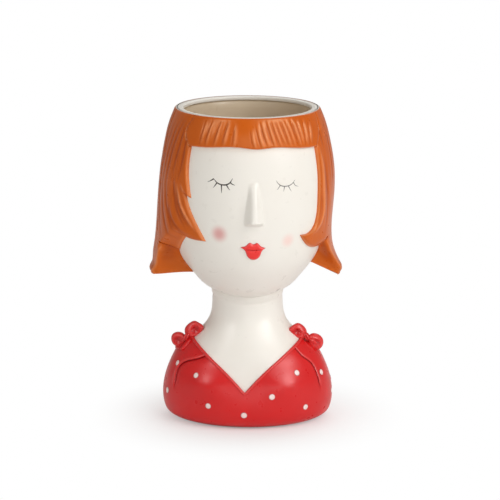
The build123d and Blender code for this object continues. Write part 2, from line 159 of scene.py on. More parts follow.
def sleeve(rings, closed=False, capped=False):
    """The points of rings as one list, and faces between the rings and, if capped, over both ends."""
    count, verts, faces = len(rings[0]), np.concatenate(rings), []
    pairs = len(rings) if closed else len(rings) - 1
    for k in range(pairs):
        low, high = k * count, (k + 1) % len(rings) * count
        for i in range(count):
            j = (i + 1) % count
            faces.append((low + i, low + j, high + j, high + i))
    if capped:
        faces += [tuple(range(count)), tuple(range(len(verts) - count, len(verts)))]
    return verts, faces


# Glaze effects that several materials use
def tree_of(name, ins, outs):
    """A shader node group with its named sockets, its nodes still to be placed."""
    group = bpy.data.node_groups.new(name, "ShaderNodeTree")
    for socket, kind, value in ins:
        made = group.interface.new_socket(name=socket, in_out="INPUT", socket_type=kind)
        made.default_value = value
    for socket, kind in outs:
        group.interface.new_socket(name=socket, in_out="OUTPUT", socket_type=kind)
    return group, group.nodes.new("NodeGroupInput"), group.nodes.new("NodeGroupOutput")


def put(tree, kind, inputs=None, **settings):
    """One node with its settings, and its inputs given as values or as sockets to link."""
    node = tree.nodes.new(kind)
    for key, value in settings.items():
        setattr(node, key, value)
    for key, value in (inputs or {}).items():
        if isinstance(value, bpy.types.NodeSocket):
            tree.links.new(value, node.inputs[key])
        else:
            node.inputs[key].default_value = value
    return node


def remap(tree, value, start, end, low=0.0, high=1.0, **settings):
    """A value that runs from start to end, made to run from low to high."""
    node = put(tree, "ShaderNodeMapRange", {
        "Value": value, "From Min": start, "From Max": end, "To Min": low, "To Max": high}, **settings)
    return node.outputs["Result"]


def blend(tree, share, under, over):
    """One colour laid over another by a share."""
    node = put(tree, "ShaderNodeMix", {"Factor": share, "A": under, "B": over}, data_type="RGBA")
    return node.outputs["Result"]


def clouds(tree, where, scale, detail, roughness=0.5):
    """A cloudy pattern fixed to the piece."""
    node = put(tree, "ShaderNodeTexNoise", {
        "Vector": where, "Scale": scale, "Detail": detail, "Roughness": roughness})
    return node.outputs["Fac"]


def product(tree, one, other):
    """Two shares multiplied."""
    return put(tree, "ShaderNodeMath", {0: one, 1: other}, operation="MULTIPLY").outputs["Value"]


def fresh_material(name):
    """A new material, its node tree and its shader."""
    material = bpy.data.materials.new(name)
    material.use_nodes = True
    return material, material.node_tree, material.node_tree.nodes["Principled BSDF"]


# Fired glaze: cloudy depth of colour, a few iron specks, and a very slight waviness of the surface
glaze_body, given, result = tree_of(
    "glaze_body",
    [
        ("Color", "NodeSocketColor", (1, 1, 1, 1)),
        ("Deep Color", "NodeSocketColor", (0.5, 0.5, 0.5, 1)),
        ("Cloud Size", "NodeSocketFloat", 40.0),
        ("Cloud Amount", "NodeSocketFloat", 0.2),
        ("Speck Amount", "NodeSocketFloat", 0.2),
    ],
    [("Color", "NodeSocketColor"), ("Roughness", "NodeSocketFloat"), ("Height", "NodeSocketFloat")],
)
iron_brown = (0.16, 0.10, 0.06, 1)
where = put(glaze_body, "ShaderNodeTexCoord").outputs["Object"]
cloud = clouds(glaze_body, where, given.outputs["Cloud Size"], 3.0, 0.55)
cloud_share = remap(glaze_body, cloud, 0.35, 0.7, 0.0, given.outputs["Cloud Amount"])
clouded = blend(glaze_body, cloud_share, given.outputs["Color"], given.outputs["Deep Color"])
speck = put(glaze_body, "ShaderNodeTexVoronoi", {"Vector": where, "Scale": 190.0, "Randomness": 1.0})
speck_near = remap(glaze_body, speck.outputs["Distance"], 0.05, 0.11, 1.0, 0.0)
speck_pick = clouds(glaze_body, where, 90.0, 1.0)
speck_few = remap(glaze_body, speck_pick, 0.60, 0.66, 0.0, given.outputs["Speck Amount"])
specked = blend(glaze_body, product(glaze_body, speck_near, speck_few), clouded, iron_brown)
wave = clouds(glaze_body, where, 120.0, 2.0)
rough = remap(glaze_body, wave, 0.3, 0.7, 0.27, 0.33)
for made, socket in ((specked, "Color"), (rough, "Roughness"), (wave, "Height")):
    glaze_body.links.new(made, result.inputs[socket])


def glaze(name, color, deep, cloud_size=35.0, cloud_amount=0.25, specks=0.15, wave_height=0.05,
          gloss=0.4, shine=(1, 1, 1), paint=None):
    """A glossy fired glaze. Paint, where given, adds under-glaze colour to the glaze's own."""
    material, tree, shader = fresh_material(name)
    body = put(tree, "ShaderNodeGroup", {
        "Color": (*color, 1), "Deep Color": (*deep, 1), "Cloud Size": cloud_size,
        "Cloud Amount": cloud_amount, "Speck Amount": specks}, node_tree=glaze_body)
    colour = paint(tree, body.outputs["Color"]) if paint else body.outputs["Color"]
    bump = put(tree, "ShaderNodeBump", {
        "Height": body.outputs["Height"], "Strength": 0.35, "Distance": wave_height * mm})
    tree.links.new(colour, shader.inputs["Base Color"])
    tree.links.new(body.outputs["Roughness"], shader.inputs["Roughness"])
    tree.links.new(bump.outputs["Normal"], shader.inputs["Normal"])
    shader.inputs["IOR"].default_value = 1.5
    shader.inputs["Specular IOR Level"].default_value = gloss
    shader.inputs["Specular Tint"].default_value = (*shine, 1)
    return material


# Cheeks: two spots of pink sprayed under the glaze, the one on the left stronger.
# Each has its place across and up, its radius, its strength and its pink.
cheeks = (
    (-33.1, 192.3, 11.5, 0.66, (0.68, 0.17, 0.17)),
    (30.9, 184.9, 10.0, 0.34, (0.95, 0.42, 0.38)),
)
rim_stain = (0.42, 0.13, 0.03, 1)


def blush(tree, colour):
    """The cheeks, and the brown line where the hair's glaze creeps over the rim behind."""
    where = put(tree, "ShaderNodeTexCoord").outputs["Object"]
    ahead = put(
        tree, "ShaderNodeVectorRotate", {"Vector": where, "Angle": -head_turn}, rotation_type="Z_AXIS")
    part = put(tree, "ShaderNodeVectorMath", {
        0: ahead.outputs["Vector"], 1: (1 / (rim_half * mm), 1 / (rim_deep * mm), 0)}, operation="MULTIPLY")
    out = put(tree, "ShaderNodeVectorMath", {0: part.outputs["Vector"]}, operation="LENGTH").outputs["Value"]
    place = put(tree, "ShaderNodeSeparateXYZ", {"Vector": where})
    behind = remap(tree, place.outputs["Y"], 10 * mm, 40 * mm, 0.0, 0.85)
    above = remap(tree, place.outputs["Z"], (rim_height - 3.4) * mm, (rim_height - 2.4) * mm, 0.0, behind)
    colour = blend(tree, remap(tree, out, 0.950, 0.975, 0.0, above), colour, rim_stain)
    for across, height, radius, strength, pink in cheeks:
        spot = head.place(asin(across / float(head.half(height))), height) * mm
        far = put(tree, "ShaderNodeVectorMath", {0: where, 1: tuple(spot)}, operation="DISTANCE")
        share = remap(
            tree, far.outputs["Value"], 0.0, radius * mm, strength, 0.0, interpolation_type="SMOOTHERSTEP")
        colour = blend(tree, share, colour, (*pink, 1))
    return colour


cream, cream_deep = (0.88, 0.855, 0.80), (0.80, 0.755, 0.675)
face_glaze = glaze(
    "cream_face_glaze", cream, cream_deep, cloud_size=14.0, specks=0.04, gloss=0.32, paint=blush)
cream_glaze = glaze("cream_glaze", cream, cream_deep, cloud_size=14.0, specks=0.04, gloss=0.32)

around = np.linspace(0, 2 * pi, 240, endpoint=False)
mouth_half, mouth_deep, lip_height, lip_rounding = 60.2, 67.0, 3.5, 1.4
head_wall = 5.5


def oval(half, deep, height):
    """A level ring in the head's own frame, half width by depth."""
    x, y = half * np.sin(around), -deep * np.cos(around)
    c, s = cos(head_turn), sin(head_turn)
    return np.stack([c * x - s * y, s * x + c * y, height + 0 * x], -1)


rings = [oval(throat_radius, throat_radius, head_foot), oval(21.0, 24.0, head_foot)]
rings += [head.place(around, z) for z in np.linspace(head_foot + 0.2, 132.0, 14)]
rings += [head.place(around, z) for z in np.linspace(133.5, 299.2, 96)]
outside_count = len(rings)
rings += [head.place(around, rim_height, -0.3)]
rings += [oval(mouth_half + 4.0, mouth_deep + 4.0, rim_height)]
for turned in np.linspace(0, pi / 2, 7):
    inset = lip_rounding * (1 - sin(turned))
    rings.append(oval(mouth_half + inset, mouth_deep + inset, rim_height - lip_rounding * (1 - cos(turned))))
rings.append(oval(mouth_half, mouth_deep, rim_height - lip_height + 0.5))
rings.append(oval(mouth_half + 0.4, mouth_deep + 0.4, rim_height - lip_height - 0.1))
for z, thinner in ((rim_height - lip_height - 0.6, 1.0), (294.5, 0.6), (292.0, 0.0)):
    rings.append(head.place(around, z, thinner - head_wall))
rings += [head.place(around, z, -head_wall) for z in np.linspace(288.0, 140.0, 60)]
for z, wall in ((136.0, 6.0), (133.0, 7.0), (131.0, 8.5)):
    rings.append(head.place(around, z, -wall))
rings.append(oval(throat_radius + 6.0, throat_radius + 7.0, 128.4))
rings.append(oval(throat_radius + 2.0, throat_radius + 2.0, 127.8))
rings.append(oval(throat_radius, throat_radius, 127.0))
verts, faces = sleeve(rings, closed=True)
head_shell = build("head_shell", verts, faces, face_glaze)
# The inside of the well is the same cream glaze; this darker, browner copy of it is painted shade for the
# dim inside of the pot.
inside_painted_shade_glaze = glaze("inside_painted_shade_glaze", (0.74, 0.62, 0.46), (0.58, 0.46, 0.33), cloud_size=18.0,
                     cloud_amount=0.5, specks=0.3)
head_shell.data.materials.append(inside_painted_shade_glaze)
under_lip = rim_height - lip_height - 0.3
inside_from = next(k for k, ring in enumerate(rings) if k > outside_count and ring[0][2] < under_lip)
for face in head_shell.data.polygons:
    face.material_index = int(face.index // len(around) >= inside_from)
seat(head_shell)

# Neck and chest
# A second casting, hollow from the foot to the throat, that the egg of the head is luted into.
# A soft collar of slip runs round the joint under the chin.
bust = Form([
    (0.0, 64.0, 48.0, 48.0, 0.0),
    (4.0, 72.5, 54.0, 54.0, 0.0),
    (10.0, 77.5, 58.5, 58.0, 0.0),
    (20.0, 79.5, 60.5, 60.0, 0.0),
    (35.0, 78.5, 59.0, 58.0, 0.0),
    (50.0, 74.0, 55.0, 54.0, 0.0),
    (60.0, 69.5, 51.0, 51.0, 0.0),
    (66.0, 66.0, 48.5, 48.5, 0.0),
    (72.0, 60.5, 45.0, 45.5, 0.0),
    (80.0, 51.2, 40.5, 42.0, 0.0),
    (88.0, 42.5, 36.5, 38.5, 0.0),
    (97.0, 36.5, 33.0, 36.0, 0.0),
    (110.0, 33.8, 31.5, 35.0, 0.0),
    (125.0, 33.5, 31.0, 35.0, 0.0),
    (138.0, 33.5, 31.0, 35.0, 0.0),
])
bust_wall = 4.5
swell_middles, swell_height = (-36.0, 37.0), 45.0
swell_out, swell_half_width, swell_half_height = 4.2, 19.0, 16.0
collar_out, groove_in = 0.75, 0.30


def smooth(share):
    share = np.clip(share, 0, 1)
    return share * share * (3 - 2 * share)


def hump(offset):
    """A soft hump: 1 in its middle, and falling away to nothing on either side."""
    return np.exp(-offset**2)


def rounded(share):
    """A quarter circle: from 0 at the edge to 1 where the rounding ends."""
    share = np.clip(share, 0, 1)
    return np.sqrt(1 - (1 - share)**2)


def chest_swell(angle, up):
    """The two soft swells of the chest, in front only."""
    across = bust.half(up) * np.sin(angle)
    swell = 0
    for middle in swell_middles:
        sideways, upwards = (across - middle) / swell_half_width, (up - swell_height) / swell_half_height
        swell = swell + swell_out * np.exp(-sideways**2 - upwards**2)
    return swell * smooth(np.cos(angle) / 0.35)


def joint_height(angle):
    """The height at which the neck meets the egg of the head, at an angle round."""
    heights = np.linspace(head_foot, 134.0, 241)
    neck = bust.place(angle, heights)
    x, y = neck[:, 0], neck[:, 1]
    c, s = cos(-head_turn), sin(-head_turn)
    hx, hy = c * x - s * y, s * x + c * y
    deep = np.where(hy < 0, head.front(heights), head.back(heights))
    inside = (hx / head.half(heights))**2 + (hy / deep)**2 < 1
    return heights[np.argmax(inside)]


joint = np.array([joint_height(angle) for angle in around])
rings = [bust.place(around, 0.0, -bust_wall)]
rings += [bust.place(around, z) for z in np.linspace(0.0, 8.0, 9)]
rings += [bust.place(around, z, chest_swell(around, z)) for z in np.linspace(10.0, 100.0, 60)]
for share in np.linspace(0.0, 1.0, 40):
    height = 102.0 + share * (joint + 1.6 - 102.0)
    below = joint - height
    collar = collar_out * np.clip(1 - ((below - 2.6) / 3.4)**2, 0, 1)**0.8 * (below > -1.0)
    groove = -groove_in * hump((below - 7.2) / 1.2)
    rings.append(bust.place(around, height, collar + groove))
rings += [bust.place(around, joint + 1.6, -1.5)]
rings += [bust.place(around, np.minimum(joint - 0.5, 124.0), -bust_wall)]
rings += [bust.place(around, z, -bust_wall) for z in np.linspace(118.0, 7.0, 40)]
verts, faces = sleeve(rings, closed=True)
neck_and_chest = build("neck_and_chest", verts, faces, cream_glaze)
seat(neck_and_chest)

# Hair
# A thick layer of clay over the casting, with locks and strands cut by hand before the glaze.
# The orange glaze runs thin and pale over the edges and lies dark in the cuts; the pale over edges and
# crowns is partly painted highlight.
hair = Form(
    [
        (141.0, 88.4, 62.7, 88.0, 0.6),
        (144.0, 91.75, 66.0, 89.9, -1.05),
        (150.0, 90.4, 70.0, 88.5, -1.6),
        (160.0, 87.2, 74.5, 86.0, -3.1),
        (172.0, 84.8, 78.3, 84.5, -3.9),
        (187.0, 83.6, 80.7, 84.5, -3.5),
        (215.0, 83.7, 82.5, 85.0, -1.5),
        (245.0, 82.3, 82.4, 83.5, 0.0),
        (270.0, 78.0, 80.5, 80.5, 0.0),
        (287.0, 73.6, 79.0, 78.0, 0.0),
        (300.0, 68.3, 75.0, 75.0, 0.0),
    ],
    head_turn,
)
flat_radius = 80.0
hair_low = 142.0
hair_sunk = 1.2
edge_thickness, full_from_face, full_from_below = 3.4, 24.0, 9.0
strand_count = 400


def reach(points, line):
    """Distance of each point to a line of points, and the share along it of the nearest place."""
    start, step = line[:-1], np.diff(line, axis=0)
    length = np.linalg.norm(step, axis=1)
    before = np.concatenate([[0], np.cumsum(length)])
    best, along = np.full(len(points), np.inf), np.zeros(len(points))
    for k in range(len(start)):
        t = np.clip((points - start[k]) @ step[k] / length[k]**2, 0, 1)
        far = np.linalg.norm(points - start[k] - t[:, None] * step[k], axis=1)
        near = far < best
        best[near] = far[near]
        along[near] = (before[k] + t[near] * length[k]) / before[-1]
    return best, along


def curve_through(points, spacing=1.2):
    """Evenly spaced places on a smooth curve through the points."""
    points = np.array(points, float)
    if len(points) < 3:
        count = max(2, int(np.linalg.norm(points[1] - points[0]) / spacing) + 1)
        return points[0] + np.linspace(0, 1, count)[:, None] * (points[1] - points[0])
    knots = np.concatenate([[0], np.cumsum(np.linalg.norm(np.diff(points, axis=0), axis=1))])
    axes = [through(knots, points[:, k]) for k in range(points.shape[1])]
    count = max(3, int(knots[-1] / spacing) + 1)
    t = np.linspace(0, knots[-1], count)
    return np.stack([axis(t) for axis in axes], -1)


def flat(angle, height):
    """Unrolled place of an angle in degrees and a height."""
    return (radians(angle) * flat_radius, height)


def face_flat(across, height):
    """Unrolled place of a point on the face, seen from the front."""
    share = across / (float(head.half(height)) + 0.5)
    return flat(degrees(asin(max(-1, min(1, share)))), height)


def inside_of(points, outline):
    """Which points lie inside a closed outline."""
    x, y = points[:, 0], points[:, 1]
    inside = np.zeros(len(points), bool)
    x0, y0 = outline[-1]
    for x1, y1 in outline:
        cross = (y0 > y) != (y1 > y)
        if cross.any():
            at = x0 + (y - y0) * (x1 - x0) / (y1 - y0 if y1 != y0 else 1)
            inside ^= cross & (x < at)
        x0, y0 = x1, y1
    return inside


def fill(outline, spacing, offsets):
    """Triangles over an outline: rows of points close to its edge, and an even grid inside them.

    Gives the points, the triangles, and which of the points each one of the outline became.
    """
    closed = np.vstack([outline, outline[:1]])
    before, after = np.roll(outline, 1, axis=0), np.roll(outline, -1, axis=0)
    along = after - before
    normal = np.stack([-along[:, 1], along[:, 0]], -1)
    normal /= np.linalg.norm(normal, axis=1, keepdims=True) + 1e-9
    area = np.sum(outline[:, 0] * after[:, 1] - after[:, 0] * outline[:, 1])
    normal *= 1 if area > 0 else -1
    points = []
    for offset in offsets:
        row = outline + normal * offset
        row = row[inside_of(row, outline)]
        near, _ = reach(row, closed)
        points.append(row[near > 0.94 * offset])
    low, high = outline.min(0), outline.max(0)
    grid = []
    for k, z in enumerate(np.arange(low[1], high[1], spacing * 0.87)):
        row = np.arange(low[0] + (k % 2) * spacing / 2, high[0], spacing)
        grid.append(np.stack([row, np.full(len(row), z)], -1))
    grid = np.concatenate(grid)
    grid = grid[inside_of(grid, outline)]
    near, _ = reach(grid, closed)
    points.append(grid[near > (offsets[-1] if offsets else 0) + 0.55 * spacing])
    every = np.concatenate([outline] + points)
    count = len(outline)
    edges = [(k, (k + 1) % count) for k in range(count)]
    made = delaunay_2d_cdt([Vector(p) for p in every], edges, [list(range(count))], 1, 1e-6)
    became = {origin: k for k, origins in enumerate(made[3]) for origin in origins if origin < count}
    return np.array([tuple(p) for p in made[0]]), [tuple(f) for f in made[2]], became


def clad(name, outline, outer, inner, material, spacing=1.2, offsets=(0.25, 0.6, 1.1, 1.8), low_spacing=7.0):
    """A closed pad over an unrolled outline: its outer skin, its hidden inner skin and its edge."""
    top, top_faces, top_edge = fill(outline, spacing, offsets)
    low, low_faces, low_edge = fill(outline, low_spacing, offsets if low_spacing < 5 else ())
    count, first = len(outline), len(top)
    skin, pool = outer(top)
    faces = top_faces + [tuple(first + k for k in reversed(f)) for f in low_faces]
    for k in range(count):
        j = (k + 1) % count
        faces.append((top_edge[k], first + low_edge[k], first + low_edge[j], top_edge[j]))
    verts, pools = np.concatenate([skin, inner(low)]), np.concatenate([pool, np.zeros(len(low))])
    return build(name, verts, faces, material, pools)


# How the glaze lies over relief: dark where it is thick, pale where it runs thin over an edge. The same
# darkening and paling also lays painted shade and painted highlights.
glaze_flow_and_painted_light, given, result = tree_of(
    "glaze_flow_and_painted_light",
    [
        ("Color", "NodeSocketColor", (1, 1, 1, 1)),
        ("Pooled And Shade Color", "NodeSocketColor", (0.2, 0.05, 0.02, 1)),
        ("Thin And Highlight Color", "NodeSocketColor", (0.9, 0.6, 0.4, 1)),
        ("Pooled And Shade Amount", "NodeSocketFloat", 0.7),
        ("Thin And Highlight Amount", "NodeSocketFloat", 0.5),
    ],
    [("Color", "NodeSocketColor")],
)
depth = put(glaze_flow_and_painted_light, "ShaderNodeAttribute", attribute_name="glaze_depth").outputs["Fac"]
pool_and_shade_share = remap(glaze_flow_and_painted_light, depth, 0.0, 1.0, 0.0, given.outputs["Pooled And Shade Amount"])
thin_and_highlight_share = remap(glaze_flow_and_painted_light, depth, 0.0, -1.0, 0.0, given.outputs["Thin And Highlight Amount"])
darkened = blend(glaze_flow_and_painted_light, pool_and_shade_share, given.outputs["Color"], given.outputs["Pooled And Shade Color"])
paled = blend(glaze_flow_and_painted_light, thin_and_highlight_share, darkened, given.outputs["Thin And Highlight Color"])
glaze_flow_and_painted_light.links.new(paled, result.inputs["Color"])


def flow_and_light_paint(dark, pale, dark_amount, pale_amount):
    """A glaze's paint: dark where the glaze pools in the relief, pale where it runs thin, and the same
    colours laid as painted shade and painted highlights.
    """

    def paint(tree, colour):
        flow = put(tree, "ShaderNodeGroup", {
            "Color": colour, "Pooled And Shade Color": (*dark, 1), "Thin And Highlight Color": (*pale, 1),
            "Pooled And Shade Amount": dark_amount, "Thin And Highlight Amount": pale_amount}, node_tree=glaze_flow_and_painted_light)
        return flow.outputs["Color"]

    return paint


# Pinkish pale where the glaze runs thin over edges and crowns: partly the glaze breaking thin, partly
# painted highlight.
hair_flow_and_highlight = flow_and_light_paint((0.34, 0.036, 0.001), (0.88, 0.34, 0.15), 0.65, 0.65)


def hair_paint(tree, colour):
    """The glaze flow with its painted highlights, and the cream rim that is wiped clean at the mouth of the
    pot.
    """
    colour = hair_flow_and_highlight(tree, colour)
    where = put(tree, "ShaderNodeTexCoord").outputs["Object"]
    place = put(tree, "ShaderNodeSeparateXYZ", {"Vector": where})
    wander = put(tree, "ShaderNodeMath", {
        0: clouds(tree, where, 160.0, 2.0), 1: 0.2 * mm, 2: place.outputs["Z"]}, operation="MULTIPLY_ADD")
    in_front = remap(tree, place.outputs["Y"], 20 * mm, 45 * mm, 1.0, 0.0)
    low, high = (rim_height - 0.15) * mm, (rim_height + 0.05) * mm
    wiped = remap(tree, wander.outputs["Value"], low, high, 0.0, in_front)
    return blend(tree, wiped, colour, (*cream, 1))


orange_glaze = glaze(
    "orange_hair_glaze", (0.61, 0.107, 0.002), (0.49, 0.069, 0.001), cloud_size=28.0, cloud_amount=0.35,
    specks=0.15, wave_height=0.06, gloss=0.45, shine=(1, 0.97, 0.6), paint=hair_paint)

# Outlines as seen from the front: across and up, in the head's own frame. Each lock is a row of runs
# that meet in its corners.
fringe_hem = [(-56.5, 271.3), (-41, 272.1), (-21.6, 273.5), (-10.8, 272.9), (-0.9, 271.7),
              (14.9, 272.5), (41.9, 270.2), (57.5, 269.0)]
left_crease = [(-52.3, 300), (-58.5, 287), (-56.5, 271.3)]
right_crease = [(57.5, 269.0), (60.0, 287), (58.9, 300)]
left_lock = [
    [(-56.5, 271.3), (-59.1, 254.6), (-59.5, 242.6), (-57.5, 222.9)],
    [(-57.5, 222.9), (-61.8, 227.7)],
    [(-61.8, 227.7), (-58.4, 212.8), (-52.7, 199.4), (-44.5, 183.6)],
    [(-44.5, 183.6), (-56.1, 183.7), (-61.6, 185.0)],
    [(-61.6, 185.0), (-66.2, 169.2)],
]
right_lock = [
    [(57.5, 269.0), (59.4, 257.2), (61.1, 238.3), (60.9, 219.5), (60.0, 205.3), (56.2, 193.6),
     (50.5, 189.0), (42.6, 188.8)],
    [(42.6, 188.8), (48.2, 179.5), (56.1, 173.1), (63.6, 172.5)],
]


def joined(*runs):
    """Runs of unrolled points as one open line, with each shared end kept once."""
    line = [runs[0]] + [run[1:] for run in runs[1:]]
    return np.concatenate(line)


def front_curve(points, spacing=1.2):
    return curve_through([face_flat(*p) for p in points], spacing)


left_face_edge = joined(front_curve(left_lock[0]), front_curve(left_lock[1]), front_curve(left_lock[2]))
left_low_edge = joined(front_curve(left_lock[3]), front_curve(left_lock[4]))
right_face_edge, right_low_edge = front_curve(right_lock[0]), front_curve(right_lock[1])
hem_line = front_curve(fringe_hem)
parting_angle = 83.0
left_apex, right_apex = flat(-75.5, 174.6), flat(66.0, 179.0)
left_part_foot, right_part_foot = flat(-parting_angle, 186.0), flat(parting_angle, 188.0)


def rolled(points, radius=flat_radius):
    """The angles and the heights of unrolled points."""
    return points[:, 0] / radius, points[:, 1]


def hair_depth(points):
    """Distance from the head out to the full form of the hair."""
    return np.linalg.norm(hair.place(*rolled(points)) - head.place(*rolled(points)), axis=1)


def thickness(points, free, under):
    """Thickness of the hair over the head: thin along the face, and soon full above the lower edge."""
    full, edge_near, under_near = hair_depth(points), reach(points, free)[0], reach(points, under)[0]
    edge = np.minimum(full, edge_thickness)
    fuller = smooth(edge_near / full_from_face) * smooth(under_near / full_from_below)
    return full, edge + (full - edge) * fuller, edge_near


def hair_point(points, share):
    """Places between the head, at 0, and the outer form of the hair, at 1."""
    inner, outer = head.place(*rolled(points)), hair.place(*rolled(points))
    return inner + (outer - inner) * share[:, None]


def under_hair(points):
    return head.place(*rolled(points), -hair_sunk)


def nearest_of(points, lines):
    """Distance of each point to the nearer of two lines."""
    return np.minimum(*(reach(points, line)[0] for line in lines))


def seam_drop(full, seam, top, depth):
    """Share by which the skin sinks along a seam, less and less towards the rim."""
    return np.minimum(depth / full, 0.6) * hump(seam / 1.2) * smooth(top / 3.0)


def lines_relief(points, strokes):
    """Raised and cut lines: each has its unrolled points, its width and its height."""
    total = np.zeros(len(points))
    for line, width, height in strokes:
        near, along = reach(points, line)
        total += height * smooth(np.minimum(along, 1 - along) / 0.42) * hump(near / width)
    return total


def stroke(points, width, height):
    return (curve_through([flat(*p) for p in points], 2.0), width, height)


def comb(points, pitch, slant=0.0, seed=1):
    """Soft strands side by side: 0 on their crowns and -1 in the cuts between them."""
    picks = np.random.default_rng(seed)
    depth, shift = picks.uniform(0.35, 1.0, strand_count), picks.uniform(-0.25, 0.25, strand_count)
    sway = 0.5 * np.sin(points[:, 1] / 31.0 + seed) + 0.3 * np.sin(points[:, 1] / 13.0 + points[:, 0] / 40)
    phase = (points[:, 0] + slant * (points[:, 1] - 220.0)) / pitch + sway + strand_count / 2
    strand = np.clip(np.floor(phase + 0.5).astype(int), 0, strand_count - 1)
    local = phase - strand
    cut = hump(np.abs(local) / 0.16)
    length = 0.6 + 0.4 * np.sin(points[:, 1] / 17.0 + 6.28 * shift[strand])
    return -cut * depth[strand] * length


def finish_hair(points, share_full, extra, free_near, seam_near):
    """The outer skin of a hair piece with its relief, and how the glaze lies on it, with painted highlights
    over the crowns and along the free edge.
    """
    fade = smooth((rim_height - points[:, 1]) / 5.0) * smooth(free_near / 3.0) * smooth(seam_near / 1.5)
    relief = extra * fade
    skin = hair_point(points, share_full) + hair.outward(*rolled(points)) * relief[:, None]
    # Dark in the cuts where the glaze pools; pale over the raised crowns and along the free edge, partly
    # thin glaze and partly painted highlight.
    pool = np.clip(-relief / 0.55, 0, 1) - 0.7 * np.clip(relief / 0.6, 0, 1)
    return skin, pool - 0.6 * hump((free_near - 0.5) / 0.5)


# Fringe: a straight band under the rim, its strands fanned from a parting near the middle.
# Each strand is a raised stroke with a cut beside it.
fringe_strokes = []
strand_up, strand_down, cut_beside = 5, 4, 1.75
for start, middle, end, width, height in (
        ((-2.5, 288), (-1.5, 281), (1.2, 273), 1.1, 0.40),
        ((1.2, 291), (3.2, 283), (6.6, 273), 1.2, 0.45),
        ((4.2, 296), (6.6, 287), (10.8, 274), 1.3, 0.55),
        ((8.4, 297), (11.6, 286), (15.4, 273), 1.3, 0.60),
        ((12.4, 297), (15.6, 286), (20.0, 273), 1.2, 0.50),
        ((16.2, 296), (19.5, 285), (23.8, 274), 1.2, 0.45),
        ((20.2, 297), (23.4, 286), (26.8, 274), 1.3, 0.55),
        ((25.0, 296), (27.6, 285), (30.6, 273), 1.1, 0.35),
        ((29.8, 297), (31.8, 286), (35.2, 274), 1.4, 0.60),
        ((35.2, 295), (36.0, 285), (37.2, 275), 1.1, 0.40),
        ((41.4, 294), (41.0, 284), (40.2, 274), 1.2, 0.40),
        ((47.4, 292), (45.8, 283), (43.8, 275), 1.1, 0.35),
        ((-13.6, 292), (-14.4, 283), (-15.4, 274), 1.3, 0.35),
        ((-17.8, 296), (-20.8, 286), (-22.4, 276), 1.3, 0.45),
        ((-24.2, 296), (-27.2, 285), (-29.0, 275), 1.3, 0.40),
        ((-31.4, 295), (-34.0, 284), (-35.6, 275), 1.3, 0.40),
        ((-37.4, 294), (-38.6, 284), (-39.8, 276), 1.2, 0.35)):
    line = [(start[0], start[1] + strand_up), middle, (end[0], end[1] - strand_down)]
    fringe_strokes.append(stroke(line, width * 1.15, 1.5 * height))
    beside = [(angle - cut_beside, up) for angle, up in line]
    fringe_strokes.append(stroke(beside, width * 0.75, -1.1 * height))

left_crease_line, right_crease_line = front_curve(left_crease), front_curve(right_crease)
rim_run = curve_through([right_crease_line[-1], left_crease_line[0]], 1.2)
fringe_outline = joined(left_crease_line, hem_line, right_crease_line, rim_run)[:-1]


def fringe_skin(points):
    free, seam = reach(points, hem_line)[0], nearest_of(points, (left_crease_line, right_crease_line))
    top = rim_height - points[:, 1]
    share = rounded(top / 1.6) * (rounded(free / 1.9) * 1.12 - 0.12)
    share = share - seam_drop(hair_depth(points), seam, top, 0.4)
    skin, pool = finish_hair(points, share, lines_relief(points, fringe_strokes), free, seam + 1.0)
    return skin, pool + 0.15 * hump(seam / 1.0)


hair_fringe = clad("hair_fringe", fringe_outline, fringe_skin, under_hair, orange_glaze, spacing=0.7)
seat(hair_fringe)

# Side locks: long layers that frame the face, cut to points on the left and curled on the right.
# Each stroke has its places as angle and height, its width, and how far it stands out or is cut in.
left_strokes = [
    stroke([(-58.4, 240.3), (-57.4, 230.3), (-54.4, 216.4), (-48.1, 202.4), (-39.0, 189.2)], 0.9, 1.3),
    stroke([(-55.4, 239.0), (-51.4, 226.7), (-47.6, 216.0)], 0.9, 0.6),
    stroke([(-60.2, 236.0), (-57.2, 216.4), (-51.6, 203.4), (-44.0, 190.0)], 1.5, -0.55),
    stroke([(-70.3, 252.0), (-68.7, 216.5), (-64.5, 204.1), (-57.7, 190.3), (-49.5, 183.6)], 1.6, -0.6),
    stroke([(-66.4, 222.0), (-63.0, 205.0), (-56.2, 194.4), (-46.1, 185.7)], 1.5, -0.75),
    stroke([(-76.6, 250.5), (-74.1, 211.7), (-68.8, 196.4), (-61.4, 183.1), (-55.8, 174.2)], 1.8, -0.6),
    stroke([(-82.0, 250.6), (-80.0, 206.9), (-75.4, 188.3), (-67.2, 173.9)], 1.8, -0.45),
    stroke([(-62.6, 252.8), (-60.9, 225.1), (-58.0, 211.2), (-53.2, 200.3), (-45.4, 186.4)], 1.4, -0.6),
    stroke([(-58.1, 303.0), (-66.7, 270.6), (-71.8, 227.4)], 1.6, -0.6),
    stroke([(-50.8, 299.4), (-53.6, 281.8), (-54.9, 262.0), (-59.2, 229.1)], 1.4, -0.6),
    stroke([(-63.5, 303.2), (-72.1, 269.5), (-76.8, 225.1)], 1.7, -0.5),
    stroke([(-54.8, 300.5), (-59.7, 274.2), (-64.6, 236.3)], 1.5, -0.65),
    stroke([(-70.0, 301.0), (-78.0, 268.0), (-81.0, 230.0)], 1.7, -0.4),
]
